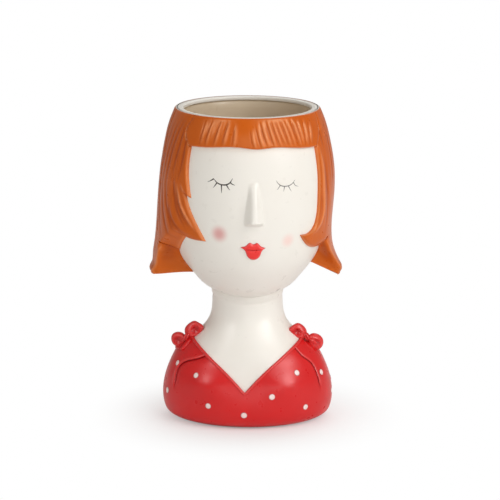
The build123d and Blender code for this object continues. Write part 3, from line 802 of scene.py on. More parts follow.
right_strokes = [
    stroke([(50.1, 281.9), (53.6, 262.9), (55.0, 249.7), (55.4, 228.0), (56.8, 214.4), (55.4, 199.4),
            (50.4, 191.8), (44.2, 188.3), (36.0, 187.6)], 1.5, 1.25),
    stroke([(49.6, 276.0), (51.4, 250.0), (51.6, 228.0), (52.4, 212.0), (50.4, 199.6), (45.6, 192.6),
            (39.0, 189.6)], 1.6, -0.55),
    stroke([(58.9, 266.9), (60.0, 227.2), (61.9, 210.0), (61.5, 192.0), (56.5, 178.0)], 1.7, -0.5),
    stroke([(63.9, 302.9), (69.4, 275.2), (69.4, 245.1), (68.4, 210.8)], 1.7, -0.5),
    stroke([(54.5, 300.5), (57.6, 281.5), (59.6, 262.7)], 1.3, -0.45),
]
parting_run_left = curve_through([left_part_foot, flat(-parting_angle, rim_height)], 1.2)
parting_run_right = curve_through([right_part_foot, flat(parting_angle, rim_height)], 1.2)
left_lower = joined(left_low_edge, curve_through([left_low_edge[-1], left_apex], 1.0))
right_lower = joined(right_low_edge, curve_through([right_low_edge[-1], right_apex], 1.0))
left_seam = curve_through([left_apex, flat(-79.0, 180.0), left_part_foot], 1.2)
right_seam = curve_through([right_apex, flat(74.0, 183.0), right_part_foot], 1.2)


def side_lock(name, crease, free, low, lower, seam, parting, strokes, slant, seed):
    """One side's locks: the crease beside the fringe, the face edge, the lower edge and the parting."""

    def skin_of(points):
        full, thick, face_near = thickness(points, free, low)
        under_near = reach(points, lower)[0]
        top, parted = rim_height - points[:, 1], nearest_of(points, (crease, parting))
        cut = np.minimum(rounded(face_near / 2.0), rounded(under_near / 2.6))
        share = thick / full * (cut * 1.1 - 0.1) * rounded(top / 1.6) - seam_drop(full, parted, top, 1.0)
        extra = lines_relief(points, strokes) + 0.16 * comb(points, 7.4, slant, seed)
        skin, pool = finish_hair(points, share, extra, np.minimum(face_near, under_near), parted + 1.0)
        return skin, pool + 0.7 * hump(parted / 0.9)

    rim_run = curve_through([parting[-1], crease[0]], 1.2)
    outline = joined(crease, free, lower, seam, parting, rim_run)[:-1]
    return clad(name, outline, skin_of, under_hair, orange_glaze, spacing=0.9)


hair_side_left = side_lock(
    "hair_side_left", left_crease_line, left_face_edge, left_low_edge, left_lower, left_seam,
    parting_run_left, left_strokes, -0.16, 11)
hair_side_right = side_lock(
    "hair_side_right", right_crease_line[::-1], right_face_edge, right_low_edge, right_lower, right_seam,
    parting_run_right, right_strokes, 0.10, 12)
for piece in (hair_side_left, hair_side_right):
    seat(piece)

# Back of the bob: one sweep from rim to hem, combed in long strands that flare at the ends
far_angle = 360 - parting_angle
back_low = curve_through([flat(parting_angle, hair_low), flat(far_angle, hair_low)], 1.6)
back_rise_far = curve_through([flat(far_angle, hair_low), flat(far_angle, rim_height)], 1.6)
back_rim = curve_through([flat(far_angle, rim_height), flat(parting_angle, rim_height)], 1.6)
back_rise_near = curve_through([flat(parting_angle, rim_height), flat(parting_angle, hair_low)], 1.6)
back_outline = joined(back_low, back_rise_far, back_rim, back_rise_near)[:-1]
hem_rounding, hem_lift, hem_lift_beside_flips, lift_reach = 3.4, 3.0, 13.0, 50.0


def hem_rise(points, share):
    """The underside of the hem rises towards the head, most of all beside the flared ends."""
    seam = nearest_of(points, (back_rise_near, back_rise_far))
    rise = (hem_lift + hem_lift_beside_flips * (1 - smooth(seam / lift_reach))) * (1 - share)
    return points + np.stack([0 * rise, rise], -1)


def back_skin(points):
    hem, top = points[:, 1] - hair_low, rim_height - points[:, 1]
    seam = nearest_of(points, (back_rise_near, back_rise_far))
    share = rounded(top / 1.6) * (1.02 * rounded(hem / hem_rounding) - 0.02)
    share = share - seam_drop(hair_depth(points), seam, top, 1.0) * smooth(hem / 4)
    extra = 1.0 * comb(points, 7.3, 0.0, 21) + 0.4 * comb(points, 3.4, 0.02, 22)
    extra = extra * (0.35 + 0.65 * smooth(hem / 20.0))
    raised = hem_rise(points, rounded(hem / hem_rounding))
    skin, pool = finish_hair(raised, share, extra, hem + 0.5, seam + 1.0)
    return skin, pool + 0.7 * hump(seam / 0.9)


def back_under(points):
    return under_hair(hem_rise(points, smooth((points[:, 1] - hair_low) / 30.0)))


hair_back = clad("hair_back", back_outline, back_skin, back_under, orange_glaze, spacing=1.7,
                 offsets=(0.1, 0.3, 0.7, 1.3, 2.1, 3.1))
seat(hair_back)


# Flared ends: each turns out below its lock, with a rounded outer ridge and a scooped front
def flip(name, side, free, under, seam, ridge, jaw, foot, scoop):
    """One flared end, lofted from its joint with the lock down to a rounded hem.

    Ridge and jaw give heights and angles of its outer corner and of its line on the jaw, and foot the
    heights of the hem at the two.
    """
    arc_count, face_count, inner_count, level_count, hem_count, hem_round = 22, 30, 8, 44, 8, 2.6
    ridge_angle, jaw_angle = through(*zip(*ridge)), through(*zip(*jaw))
    seam = seam[np.argsort(np.abs(seam[:, 0]))]
    back_angle = side * radians(parting_angle)
    forward = np.array([sin(head_turn), -cos(head_turn), 0])
    foot_at, jaw_foot = foot[0] + hem_round, foot[1] + hem_round
    rows, pools = [], []
    for down in (level / (level_count - 1) for level in range(level_count)):
        ring, pool, give = [], [], []
        corner_height = seam[0][1] + (foot_at - seam[0][1]) * down
        corner_angle = float(ridge_angle(corner_height))
        for along in np.linspace(0, 1, arc_count):
            angle = side * radians(parting_angle + (corner_angle - parting_angle) * along)
            start = np.interp(abs(angle) * flat_radius, np.abs(seam[:, 0]), seam[:, 1])
            point = np.array([[angle * flat_radius, start + (foot_at - start) * down]])
            full, thick, _ = thickness(point, free, under)
            share = thick / full + (1 - thick / full) * smooth(down / 0.25)
            ring.append(hair_point(point, share)[0])
            # Paler towards the rounded outer ridge: painted highlight, laid on as thin glaze.
            pool.append(-0.35 * along**6 * smooth(down / 0.2))
            give.append(1.0)
        corner, along_hair = ring[-1], ring[-1] - ring[-2]
        along_hair = along_hair / np.linalg.norm(along_hair)
        jaw_height = jaw[-1][0] + (jaw_foot - jaw[-1][0]) * down
        jaw_at = side * radians(float(jaw_angle(jaw_height)))
        end = head.place(jaw_at, jaw_height, -0.8)
        lead = corner + along_hair * (2.0 + 5.0 * smooth(down / 0.4))
        sink = end + (lead - end) * 0.45 - forward * scoop * smooth(down / 0.6)
        for t in np.linspace(0, 1, face_count)[1:]:
            upper = corner * (1 - t)**3 + lead * 3 * t * (1 - t)**2
            ring.append(upper + sink * 3 * t * t * (1 - t) + end * t**3)
            # Dark in the middle of the scoop, most at the top under the lock: painted shade for the pocket,
            # laid on as pooled glaze; also a dark line where it meets the face, and pale along the outer
            # ridge as painted highlight.
            pool.append(1.1 * (1 - down) * hump((t - 0.55) / 0.28) + 0.35 * hump((1 - t) / 0.08)
                        - 0.8 * hump(t / 0.14) * smooth(down / 0.15))
            give.append(1 - t)
        for along in np.linspace(0, 1, inner_count + 1)[1:]:
            start = seam[-1][1] + (jaw_foot - seam[-1][1]) * down
            inner_height = jaw_height + (start - jaw_height) * along
            ring.append(head.place(jaw_at + (back_angle - jaw_at) * along, inner_height, -2.0))
            pool.append(0.0)
            give.append(0.0)
        rows.append(np.array(ring))
        pools.append(pool)
    base, soft = rows[-1], np.array(give)[:, None]
    inward = ((base * soft).sum(0) / soft.sum() - base) * [1, 1, 0]
    inward = inward / (np.linalg.norm(inward, axis=1, keepdims=True) + 1e-9)
    for turned in np.linspace(0, pi / 2, hem_count + 1)[1:]:
        drawn_in = inward * soft * hem_round * (1 - cos(turned))
        rows.append(base + drawn_in - np.array([0, 0, 1]) * hem_round * sin(turned))
        pools.append(pool)
    verts, faces = sleeve(rows, capped=True)
    return build(name, verts, faces, orange_glaze, np.concatenate(pools))


hair_flip_left = flip(
    "hair_flip_left", -1, left_face_edge, left_low_edge, left_seam,
    ridge=((140.0, 82.0), (149.0, 80.0), (156.0, 78.0), (166.0, 76.0), (174.6, 75.0)),
    jaw=((142.0, 75.0), (149.0, 76.0), (155.0, 76.5), (165.0, 75.5), (169.2, 72.0)),
    foot=(142.6, 145.0), scoop=9.0)
hair_flip_right = flip(
    "hair_flip_right", 1, right_face_edge, right_low_edge, right_seam,
    ridge=((138.0, 80.0), (146.0, 78.0), (155.0, 75.0), (166.0, 70.0), (179.0, 66.0)),
    jaw=((145.0, 74.0), (151.0, 75.0), (161.6, 74.0), (169.0, 69.0), (172.5, 63.4)),
    foot=(138.6, 152.6), scoop=5.5)
for piece in (hair_flip_left, hair_flip_right):
    seat(piece)

# Nose
# A long plain wedge pressed on to the face, with two flat sides that meet in a soft ridge.
# Slip is smoothed round it, so that its sides run out into the face.
nose_foot, nose_top, nose_middle, nose_out = 202.0, 241.5, -1.6, 10.2


def nose_height(across, up):
    """How far the nose stands off the face."""
    rise = np.clip((up - nose_foot) / (nose_top - nose_foot), 0, 1)
    offset = (across - nose_middle) / (8.9 - 4.6 * rise**1.1)
    side = smooth(np.clip(1 - np.sqrt(offset**2 + 0.018) + 0.134, 0, 1))**0.85
    return nose_out * (1 - rise)**0.72 * side * smooth((up - nose_foot + 2.2) / 4.6)


def nose_skin(points):
    angle, height = rolled(points)
    out = 0.03 + nose_height(head.half(height) * np.sin(angle), height)
    return head.place(angle, height, out), np.zeros(len(points))


def under_face(points):
    return head.place(*rolled(points), -0.8)


nose_outline = joined(*[curve_through([face_flat(*p) for p in run], 0.8) for run in (
    [(-12.5, 199.0), (9.3, 199.0)], [(9.3, 199.0), (9.0, 215.0), (5.2, 236.0), (3.0, 246.0)],
    [(3.0, 246.0), (-6.2, 246.0)], [(-6.2, 246.0), (-8.4, 236.0), (-12.2, 215.0), (-12.5, 199.0)])])[:-1]
nose = clad("nose", nose_outline, nose_skin, under_face, cream_glaze, spacing=0.55, offsets=(0.4,))
seat(nose)

# Lips
# Two low pads of clay in a small bow, painted red under the clear glaze.
# The red runs thin at the edge and lies dark along the line between them.
lip_glaze = glaze("red_lip_glaze", (0.86, 0.035, 0.030), (0.74, 0.018, 0.018), cloud_size=90.0, specks=0.0,
                  paint=flow_and_light_paint((0.22, 0.006, 0.012), (0.82, 0.12, 0.12), 0.8, 0.5))
mouth_left, mouth_right = (-13.9, 180.7), (9.6, 179.5)
upper_edge = front_curve(
    [mouth_left, (-8.6, 182.1), (-4.9, 184.9), (-1.9, 183.4), (1.4, 184.6), (4.4, 181.9), mouth_right], 0.5)
lower_edge = front_curve(
    [mouth_right, (6.0, 176.0), (4.6, 172.0), (-1.4, 167.9), (-7.6, 171.8), (-9.4, 176.6), mouth_left], 0.5)
mouth_line = front_curve(
    [mouth_left, (-9.0, 178.3), (-5.0, 177.9), (-2.0, 177.3), (1.5, 177.7), (5.0, 177.6), mouth_right], 0.5)


def lip(name, edge, outline, height):
    """One lip over its outline, thin at its free edge and fullest beside the line of the mouth."""

    def skin_of(points):
        free, line = reach(points, edge)[0], reach(points, mouth_line)[0]
        pad = height * rounded(free / 3.2)**0.9 * (0.7 + 0.3 * rounded(line / 2.0))
        pool = 0.8 * hump(free / 0.45) + 0.6 * hump(line / 0.4)
        return head.place(*rolled(points), pad - 0.15), pool - 0.5 * hump((free - 1.5) / 0.6)

    return clad(name, outline, skin_of, under_face, lip_glaze, spacing=0.4, offsets=(0.15, 0.4))


upper_lip = lip("upper_lip", upper_edge, joined(upper_edge, mouth_line[::-1])[:-1], 2.3)
lower_lip = lip("lower_lip", lower_edge, joined(mouth_line, lower_edge)[:-1], 2.6)
for piece in (upper_lip, lower_lip):
    seat(piece)

# Closed eyes
# Each is one brushed arc with four or five lashes, painted in dark grey under the clear glaze.
# The strokes swell in the middle and end in a point.
lash_paint = glaze("dark_brushed_line", (0.035, 0.026, 0.022), (0.06, 0.05, 0.045), cloud_size=300.0,
                   cloud_amount=0.6, specks=0.0)
grey_paint = glaze("grey_brushed_line", (0.11, 0.10, 0.095), (0.20, 0.19, 0.18), cloud_size=300.0,
                   cloud_amount=0.6, specks=0.0)
eyes = {
    "eye_left": (lash_paint, 0.74, [
        [(-37.8, 244.2), (-35.0, 240.7), (-29.4, 238.7), (-24.2, 240.2), (-21.0, 245.1)],
        [(-37.6, 244.0), (-40.2, 242.0), (-43.2, 240.5)],
        [(-34.8, 240.4), (-36.6, 237.8), (-38.4, 235.4)],
        [(-31.0, 238.9), (-30.9, 235.2), (-30.8, 230.8)],
        [(-26.6, 239.4), (-25.0, 236.2), (-23.2, 233.9)],
        [(-23.4, 241.6), (-21.4, 239.8), (-18.7, 238.8)]]),
    "eye_right": (grey_paint, 0.50, [
        [(19.1, 242.6), (22.6, 238.2), (28.0, 236.6), (33.6, 237.8), (37.5, 241.9)],
        [(23.2, 237.9), (21.4, 235.6), (19.9, 233.6)],
        [(27.2, 236.7), (26.6, 234.0), (26.2, 231.6)],
        [(30.6, 236.9), (32.2, 234.0), (33.7, 231.4)],
        [(35.6, 239.6), (37.6, 236.6), (40.8, 235.0)]]),
}
brush_section = ((-1, -0.04), (-0.55, 0.07), (0, 0.10), (0.55, 0.07), (1, -0.04), (0, -0.3))
for name, (paint, half_width, strokes) in eyes.items():
    verts, faces = [], []
    for line in strokes:
        path = curve_through(line, 0.35)
        angle = np.arcsin(path[:, 0] / head.half(path[:, 1]))
        middle, out = head.place(angle, path[:, 1]), head.outward(angle, path[:, 1])
        across = np.cross(np.gradient(middle, axis=0), out)
        across /= np.linalg.norm(across, axis=1, keepdims=True)
        share = np.linspace(0, 1, len(path))[:, None]
        is_arc = line is strokes[0]
        width = np.clip(np.sin(pi * share), 0, 1)**0.45 if is_arc else np.clip(1 - share, 0, 1)**0.55
        width = np.maximum(half_width * width, 0.04)
        section = [middle + across * width * side + out * rise for side, rise in brush_section]
        first = sum(len(v) for v in verts)
        ring_verts, ring_faces = sleeve(np.stack(section, 1), capped=True)
        verts.append(ring_verts)
        faces += [tuple(first + k for k in face) for face in ring_faces]
    eye = build(name, np.concatenate(verts), faces, paint)
    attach(eye, "planter")

# Dress
# A skin of red over the bust, modelled with the swell of the chest and a crease at each arm.
# It ends at the rolled edge of the neckline and runs on down to the foot.
red_glaze = glaze("red_dress_glaze", (0.68, 0.011, 0.012), (0.55, 0.006, 0.008), cloud_size=22.0,
                  cloud_amount=0.35, specks=0.0,
                  paint=flow_and_light_paint((0.20, 0.004, 0.008), (0.80, 0.12, 0.11), 0.8, 0.5))
dress_thickness = 2.0
dress_sunk = 0.9
dress_foot = 0.6
bust_radius = 70.0


def bust_flat(across, height, behind=False):
    """Unrolled place on the bust of a point seen from the front, or from behind."""
    share = across / (float(bust.half(height)) + dress_thickness)
    angle = asin(max(-1, min(1, share)))
    return ((pi - angle if behind else angle) * bust_radius, height)


neck_front = [(0.0, 35.0), (14.0, 49.5), (32.0, 64.3), (50.5, 76.9), (57.0, 82.0)]
neck_back = [(50.5, 76.6), (30.0, 71.0), (0.0, 69.0)]
armhole_left = [(-47.0, 63.9), (-53.0, 61.9), (-59.8, 58.4), (-64.6, 53.4), (-68.0, 42.0), (-68.9, 31.0)]
armhole_right = [(54.0, 66.0), (61.6, 59.3), (67.4, 48.5), (70.4, 38.1), (71.2, 31.0)]


def shoulder_place():
    """Where the neckline crosses the top of the shoulder."""
    (x0, z0), (x1, z1) = neck_front[-2:]
    for share in np.linspace(0, 1, 400):
        x, z = x0 + share * (x1 - x0), z0 + share * (z1 - z0)
        if x >= float(bust.half(z)) + dress_thickness:
            return (pi / 2 * bust_radius, z)
    return (pi / 2 * bust_radius, z1)


shoulder = shoulder_place()
right_front_neck = curve_through([bust_flat(x, z) for x, z in neck_front[:-1]] + [shoulder], 1.0)
right_back_neck = curve_through([shoulder] + [bust_flat(x, z, True) for x, z in neck_back], 1.0)
right_neck = joined(right_front_neck, right_back_neck)
left_neck = (right_neck * [-1, 1])[::-1]
neckline = joined(left_neck, right_neck)
whole_turn = np.array([2 * pi * bust_radius, 0])


def nearest(line, point):
    return int(np.argmin(np.linalg.norm(line - np.array(point), axis=1)))


def seam_down(start, points, side, behind):
    """A seam from its start on the neckline down to the foot."""
    line = [tuple(start)]
    for x, z in points:
        s, up = bust_flat(x, z, behind and side > 0)
        line.append(((-pi * bust_radius - s) if behind and side < 0 else s, up))
    upper = curve_through(line, 1.2)
    s, up = line[-1]
    lower = curve_through([(s, up), (s, dress_foot)], 1.2)
    return upper, joined(upper, lower)


left_front_at = nearest(neckline, bust_flat(-38.6, 66.6))
right_front_at = nearest(neckline, bust_flat(46.3, 74.0))
left_back_at = nearest(neckline, (-pi * bust_radius - bust_flat(-43.3, 73.0)[0], 73.0))
right_back_at = nearest(neckline, (pi * bust_radius - bust_flat(46.3, 73.0)[0], 73.0))
left_front_crease, left_front_seam = seam_down(neckline[left_front_at], armhole_left, -1, False)
right_front_crease, right_front_seam = seam_down(neckline[right_front_at], armhole_right, 1, False)
left_back_crease, left_back_seam = seam_down(neckline[left_back_at], armhole_left, -1, True)
right_back_crease, right_back_seam = seam_down(neckline[right_back_at], armhole_right, 1, True)
strap_line = curve_through([bust_flat(53.4, 77.4), bust_flat(59.0, 72.0), bust_flat(65.4, 65.3)], 1.0)
strap_edge = (strap_line, 1.3, 0.9)


def dress_skin(creases, prouder, marks=()):
    """The outer skin of the dress, stepped at the arm creases and rounded under at the foot, with painted
    shade in the creases and painted highlight on the prouder lips.
    """

    def skin_of(points):
        angle, up = rolled(points, bust_radius)
        out = dress_thickness + chest_swell(angle, up)
        pool = np.zeros(len(points))
        # Each crease is painted dark in its cut as painted shade, and the prouder side is painted pale along
        # its lip as painted highlight.
        for line, depth in creases:
            near, along = reach(points, line)
            fade = smooth((1 - along) / 0.25)
            if prouder:
                out = out + depth * fade * (0.35 * hump((near - 1.6) / 1.8) - 0.8 * hump(near / 0.7))
                pool = pool + fade * (0.8 * hump(near / 0.5) - 0.7 * hump((near - 1.6) / 0.9))
            else:
                out = out - depth * fade * (0.6 * hump(near / 5.0) + 0.7 * hump(near / 1.6))
                pool = pool + 0.85 * fade * hump(near / 1.3)
        for line, width, height in marks:
            near, along = reach(points, line)
            lift = height * smooth(np.minimum(along, 1 - along) / 0.2) * hump(near / width)
            out, pool = out + lift, pool - 0.5 * lift
        foot = rounded((up - dress_foot) / 2.4)
        out = out * foot - 0.3 * (1 - foot)
        return bust.place(angle, up, out), pool + 0.4 * hump((up - dress_foot) / 1.2)

    return skin_of


def under_dress(points):
    angle, up = rolled(points, bust_radius)
    return bust.place(angle, np.maximum(up, dress_foot), -dress_sunk)


def dress_piece(name, top, down_seam, up_seam, skin, spacing):
    """A piece of the dress: along the neckline, down a seam, along the foot and up the other seam."""
    foot = curve_through([tuple(down_seam[-1]), tuple(up_seam[-1])], 1.5)
    outline = joined(top, down_seam, foot, up_seam[::-1])[:-1]
    return clad(name, outline, skin, under_dress, red_glaze, spacing=spacing, offsets=(0.3, 0.8, 1.5, 2.4))


bodice_front = dress_piece(
    "dress_bodice", neckline[left_front_at:right_front_at + 1], right_front_seam, left_front_seam,
    dress_skin(((left_front_crease, 1.5), (right_front_crease, 0.8)), False), 1.2)
bodice_back = dress_piece(
    "dress_bodice_back", joined(neckline[right_back_at:], neckline[:left_back_at + 1] + whole_turn),
    left_back_seam + whole_turn, right_back_seam,
    dress_skin(((left_back_crease + whole_turn, 0.7), (right_back_crease, 0.7)), False), 1.8)
left_arm = dress_piece(
    "dress_side_left", neckline[left_back_at:left_front_at + 1], left_front_seam, left_back_seam,
    dress_skin(((left_front_crease, 1.4), (left_back_crease, 0.7)), True), 1.4)
right_arm = dress_piece(
    "dress_side_right", neckline[right_front_at:right_back_at + 1], right_back_seam, right_front_seam,
    dress_skin(((right_front_crease, 0.7), (right_back_crease, 0.7)), True, (strap_edge,)), 1.4)
bpy.ops.object.select_all(action="DESELECT")
bodice_back.select_set(True)
bodice_front.select_set(True)
bpy.context.view_layer.objects.active = bodice_front
bpy.ops.object.join()
for piece in (bodice_front, left_arm, right_arm):
    seat(piece)

# Neckline binding
# The rolled edge of the neckline, a strip of clay laid along it and smoothed down with a wet finger.
# It runs in a V down the front and round in a shallow scoop behind.
binding_half_width, binding_half_height = 1.55, 1.95
angle, up = rolled(neckline[:-1], bust_radius)
centre = bust.place(angle, up, 1.0 + chest_swell(angle, up))
for _ in range(4):
    centre = (np.roll(centre, 1, axis=0) + 2 * centre + np.roll(centre, -1, axis=0)) / 4
tangent = np.roll(centre, -1, axis=0) - np.roll(centre, 1, axis=0)
tangent /= np.linalg.norm(tangent, axis=1, keepdims=True)
across = np.cross(tangent, bust.outward(angle, up))
across /= np.linalg.norm(across, axis=1, keepdims=True)
outward = np.cross(across, tangent)
rings, pools = [], []
for turned in np.linspace(0, 2 * pi, 20, endpoint=False):
    sideways, off = binding_half_width * cos(turned), binding_half_height * sin(turned)
    rings.append(centre + across * sideways + outward * off)
    # Dark in a band along one side of the roll and pale over its crown: painted shade and painted highlight,
    # laid on as glaze depth.
    groove = 0.9 * hump((sin(turned) - 0.35) / 0.25) * (cos(turned) < 0)
    pools.append(np.full(len(centre), groove - 0.6 * max(0, sin(turned))**3))
verts, faces = sleeve(rings, closed=True)
neckline_binding = build("neckline_binding", verts, faces, red_glaze, np.concatenate(pools))
seat(neckline_binding)

# Polka dots
# Drops of thick white glaze set on the red, which bleeds into the rim of each.
front_dots = [(-45.3, 50.5), (-34.6, 23.1), (-0.6, 15.7), (25.4, 33.3), (57.1, 19.9), (47.6, 53.3),
              (71.3, 48.1), (-65.6, 56.3), (-75.7, 28.8), (81.0, 26.4)]
back_rows = ((18.4, 114.0, 5), (35.4, 98.0, 6), (52.4, 114.0, 5))
back_dot_step = 33.0
dot_places = [(bust_flat(x, z)[0] / bust_radius, z) for x, z in front_dots]
for z, first, count in back_rows:
    dot_places += [(radians(first + back_dot_step * k), z) for k in range(count)]
angles, heights = np.array(dot_places).T


def dress_spot(angle, height):
    return bust.place(angle, height, dress_thickness + chest_swell(angle, height))


spots = dress_spot(angles, heights)
square = np.cross(dress_spot(angles + 0.01, heights) - dress_spot(angles - 0.01, heights),
                  dress_spot(angles, heights + 0.4) - dress_spot(angles, heights - 0.4))
square /= np.linalg.norm(square, axis=1, keepdims=True)
host = bpy.data.meshes.new("dot_places")
host.from_pydata([tuple(p) for p in spots * mm], [], [])
host.attributes.new("square", "FLOAT_VECTOR", "POINT").data.foreach_set("vector", square.ravel())
sizes = np.random.default_rng(3).uniform(0.94, 1.06, len(spots))
host.attributes.new("size", "FLOAT", "POINT").data.foreach_set("value", sizes)

# How the drop's radius and height run from its edge to its top, and how much red has bled into it
profile = [(3.05, -0.35, 1.0), (3.02, 0.02, 1.0), (2.8, 0.10, 0.9), (2.62, 0.24, 0.45), (2.3, 0.38, 0.1),
           (1.8, 0.47, 0.0), (1.1, 0.52, 0.0), (0.4, 0.54, 0.0)]
dot_sides = 28
turns = np.linspace(0, 2 * pi, dot_sides, endpoint=False)
dot_rings = [np.stack([radius * np.cos(turns), radius * np.sin(turns), 0 * turns + rise], -1)
             for radius, rise, _ in profile]
verts, faces = sleeve(dot_rings, capped=True)
bled = np.repeat([share for _, _, share in profile], dot_sides)
white_glaze = glaze("white_dot_glaze", (0.93, 0.78, 0.75), (0.88, 0.62, 0.59), cloud_size=260.0,
                    cloud_amount=0.5, specks=0.0, paint=flow_and_light_paint((0.30, 0.02, 0.03), (1, 1, 1), 0.9, 0.0))
one_dot = build("one_dot", verts, faces, white_glaze, bled)
polka_dots = bpy.data.objects.new("polka_dots_glazed", host)
bpy.context.scene.collection.objects.link(polka_dots)
dotting = bpy.data.node_groups.new("dots_on_dress", "GeometryNodeTree")
dotting.interface.new_socket(name="Geometry", in_out="INPUT", socket_type="NodeSocketGeometry")
dot_socket = dotting.interface.new_socket(name="Dot", in_out="INPUT", socket_type="NodeSocketObject")
glaze_socket = dotting.interface.new_socket(name="Glaze", in_out="INPUT", socket_type="NodeSocketMaterial")
dotting.interface.new_socket(name="Geometry", in_out="OUTPUT", socket_type="NodeSocketGeometry")
given, result = dotting.nodes.new("NodeGroupInput"), dotting.nodes.new("NodeGroupOutput")
facing = put(dotting, "GeometryNodeInputNamedAttribute", {"Name": "square"}, data_type="FLOAT_VECTOR")
sized = put(dotting, "GeometryNodeInputNamedAttribute", {"Name": "size"}, data_type="FLOAT")
turned = put(dotting, "FunctionNodeAlignRotationToVector", {"Vector": facing.outputs["Attribute"]}, axis="Z")
shape = put(dotting, "GeometryNodeObjectInfo", {"Object": given.outputs["Dot"]})
set_out = put(dotting, "GeometryNodeInstanceOnPoints", {
    "Points": given.outputs["Geometry"], "Instance": shape.outputs["Geometry"],
    "Rotation": turned.outputs["Rotation"], "Scale": sized.outputs["Attribute"]})
real = put(dotting, "GeometryNodeRealizeInstances", {"Geometry": set_out.outputs["Instances"]})
glazed = put(dotting, "GeometryNodeSetMaterial", {
    "Geometry": real.outputs["Geometry"], "Material": given.outputs["Glaze"]})
dotting.links.new(glazed.outputs["Geometry"], result.inputs["Geometry"])
grower = polka_dots.modifiers.new("dots", "NODES")
grower.node_group = dotting
grower[dot_socket.identifier] = one_dot
grower[glaze_socket.identifier] = white_glaze
evaluated = polka_dots.evaluated_get(bpy.context.evaluated_depsgraph_get())
dot_mesh = bpy.data.meshes.new_from_object(evaluated)
polka_dots.modifiers.clear()
polka_dots.data = dot_mesh
bpy.data.objects.remove(one_dot)
seat(polka_dots)

# Bows
# Each is folded from soft clay: two puffed loops pinched in the middle, a knot over the pinch, and,
# on the left, a folded end that lies down the shoulder. They are luted to the tops of the shoulders.
def bow_middle(across):
    """How far forward the middle of a bow lies, which leans in towards the neck."""
    return -8.0 - 0.22 * (58.0 - np.abs(across))


def loop_piece(name, outline, puff, hollow, folds):
    """A puffed loop over its outline seen from the front, the same behind but without its hollow."""
    edge = curve_through(outline + outline[:1], 0.6)[:-1]
    closed = np.vstack([edge, edge[:1]])
    middle, radius, sunk = hollow

    def swell(points):
        return puff * rounded(reach(points, closed)[0] / (puff * 1.1)) + 0.15

    def front(points):
        far = np.linalg.norm(points - middle, axis=1) / radius
        depth = swell(points) - sunk * hump(far)
        # Dark in the hollow, where the glaze pools and shade is painted; pale just inside the rim of the
        # puff, in a ring round the hollow and along the folds, as painted highlights.
        pool = (-0.6 * hump((reach(points, closed)[0] - 1.3) / 1.0)
                + 0.5 * hump(far) - 0.4 * hump((far - 1.35) / 0.25))
        for fold, width, height in folds:
            near, along = reach(points, curve_through(fold, 0.6))
            lift = height * smooth(np.minimum(along + 0.25, 1 - along) / 0.3) * hump(near / width)
            depth, pool = depth + lift, pool - 0.8 * lift
        return np.stack([points[:, 0], bow_middle(points[:, 0]) - depth, points[:, 1]], -1), pool

    def behind(points):
        return np.stack([points[:, 0], bow_middle(points[:, 0]) + swell(points), points[:, 1]], -1)

    return clad(name, edge, front, behind, red_glaze, spacing=0.8, offsets=(0.2, 0.5, 0.9, 1.4),
                low_spacing=1.2)


# For each loop: its outline, its puff, its hollow's middle, radius and depth, and its two folds
loops = {
    "bow_left_loop_upper": (
        [(-59.5, 80.5), (-60.0, 85.0), (-56.0, 91.0), (-50.1, 94.0), (-45.8, 92.4), (-41.6, 89.2),
         (-43.9, 83.4), (-49.3, 78.6), (-54.5, 77.0)], 5.2, ((-49.6, 86.6), 4.3, 3.2),
        (([(-57.0, 81.5), (-53.5, 88.0), (-49.0, 91.0)], 1.0, 0.5),
         ([(-56.0, 79.8), (-49.5, 81.0), (-45.0, 86.0)], 1.0, 0.5))),
    "bow_left_loop_lower": (
        [(-58.8, 78.5), (-62.5, 81.6), (-67.5, 82.0), (-72.2, 79.0), (-73.1, 74.0), (-70.6, 69.3),
         (-65.8, 67.6), (-61.0, 69.8), (-58.0, 74.5)], 5.0, ((-66.4, 74.8), 3.8, 2.9),
        (([(-59.8, 78.2), (-64.0, 79.8), (-69.0, 78.4)], 0.9, 0.5),
         ([(-59.0, 76.0), (-61.5, 72.4), (-65.8, 70.4)], 0.9, 0.5))),
    "bow_right_loop_upper": (
        [(57.6, 79.0), (56.9, 85.6), (53.4, 90.6), (48.3, 93.0), (43.6, 91.0), (40.4, 88.1), (42.2, 83.0),
         (46.8, 78.3), (52.0, 76.6)], 5.0, ((48.0, 85.4), 3.7, 2.9),
        (([(56.0, 82.0), (51.0, 88.0), (45.5, 89.4)], 1.0, 0.6),
         ([(55.0, 80.0), (50.0, 80.4), (45.4, 81.8)], 1.0, 0.5))),
    "bow_right_loop_lower": (
        [(58.2, 79.8), (62.0, 82.2), (67.0, 81.6), (71.8, 77.8), (73.0, 72.2), (69.0, 66.4), (63.0, 67.2),
         (59.0, 73.0)], 4.8, ((66.4, 74.0), 3.6, 1.6),
        (([(59.5, 79.5), (64.5, 79.4), (69.5, 75.4)], 1.1, 0.9),
         ([(59.5, 77.0), (63.5, 75.6), (67.6, 71.4)], 1.0, 0.8))),
}
bow_pieces = [loop_piece(name, *shape) for name, shape in loops.items()]


def on_shoulder(points, spacing):
    """A curve through points seen from the front, unrolled from the bust."""
    return curve_through([bust_flat(x, z) for x, z in points], spacing)


tail_closed = on_shoulder(((-53.6, 79.6), (-57.4, 80.0), (-61.0, 77.6), (-64.8, 73.4), (-66.0, 69.6),
                           (-63.4, 67.2), (-60.0, 68.8), (-56.2, 73.4), (-53.6, 79.6)), 0.7)
tail_outline = tail_closed[:-1]
tail_fold = on_shoulder(((-56.4, 79.4), (-60.6, 75.6), (-64.4, 70.8)), 0.8)
tail_crease = on_shoulder(((-55.0, 77.8), (-58.6, 73.2), (-61.8, 69.0)), 0.8)


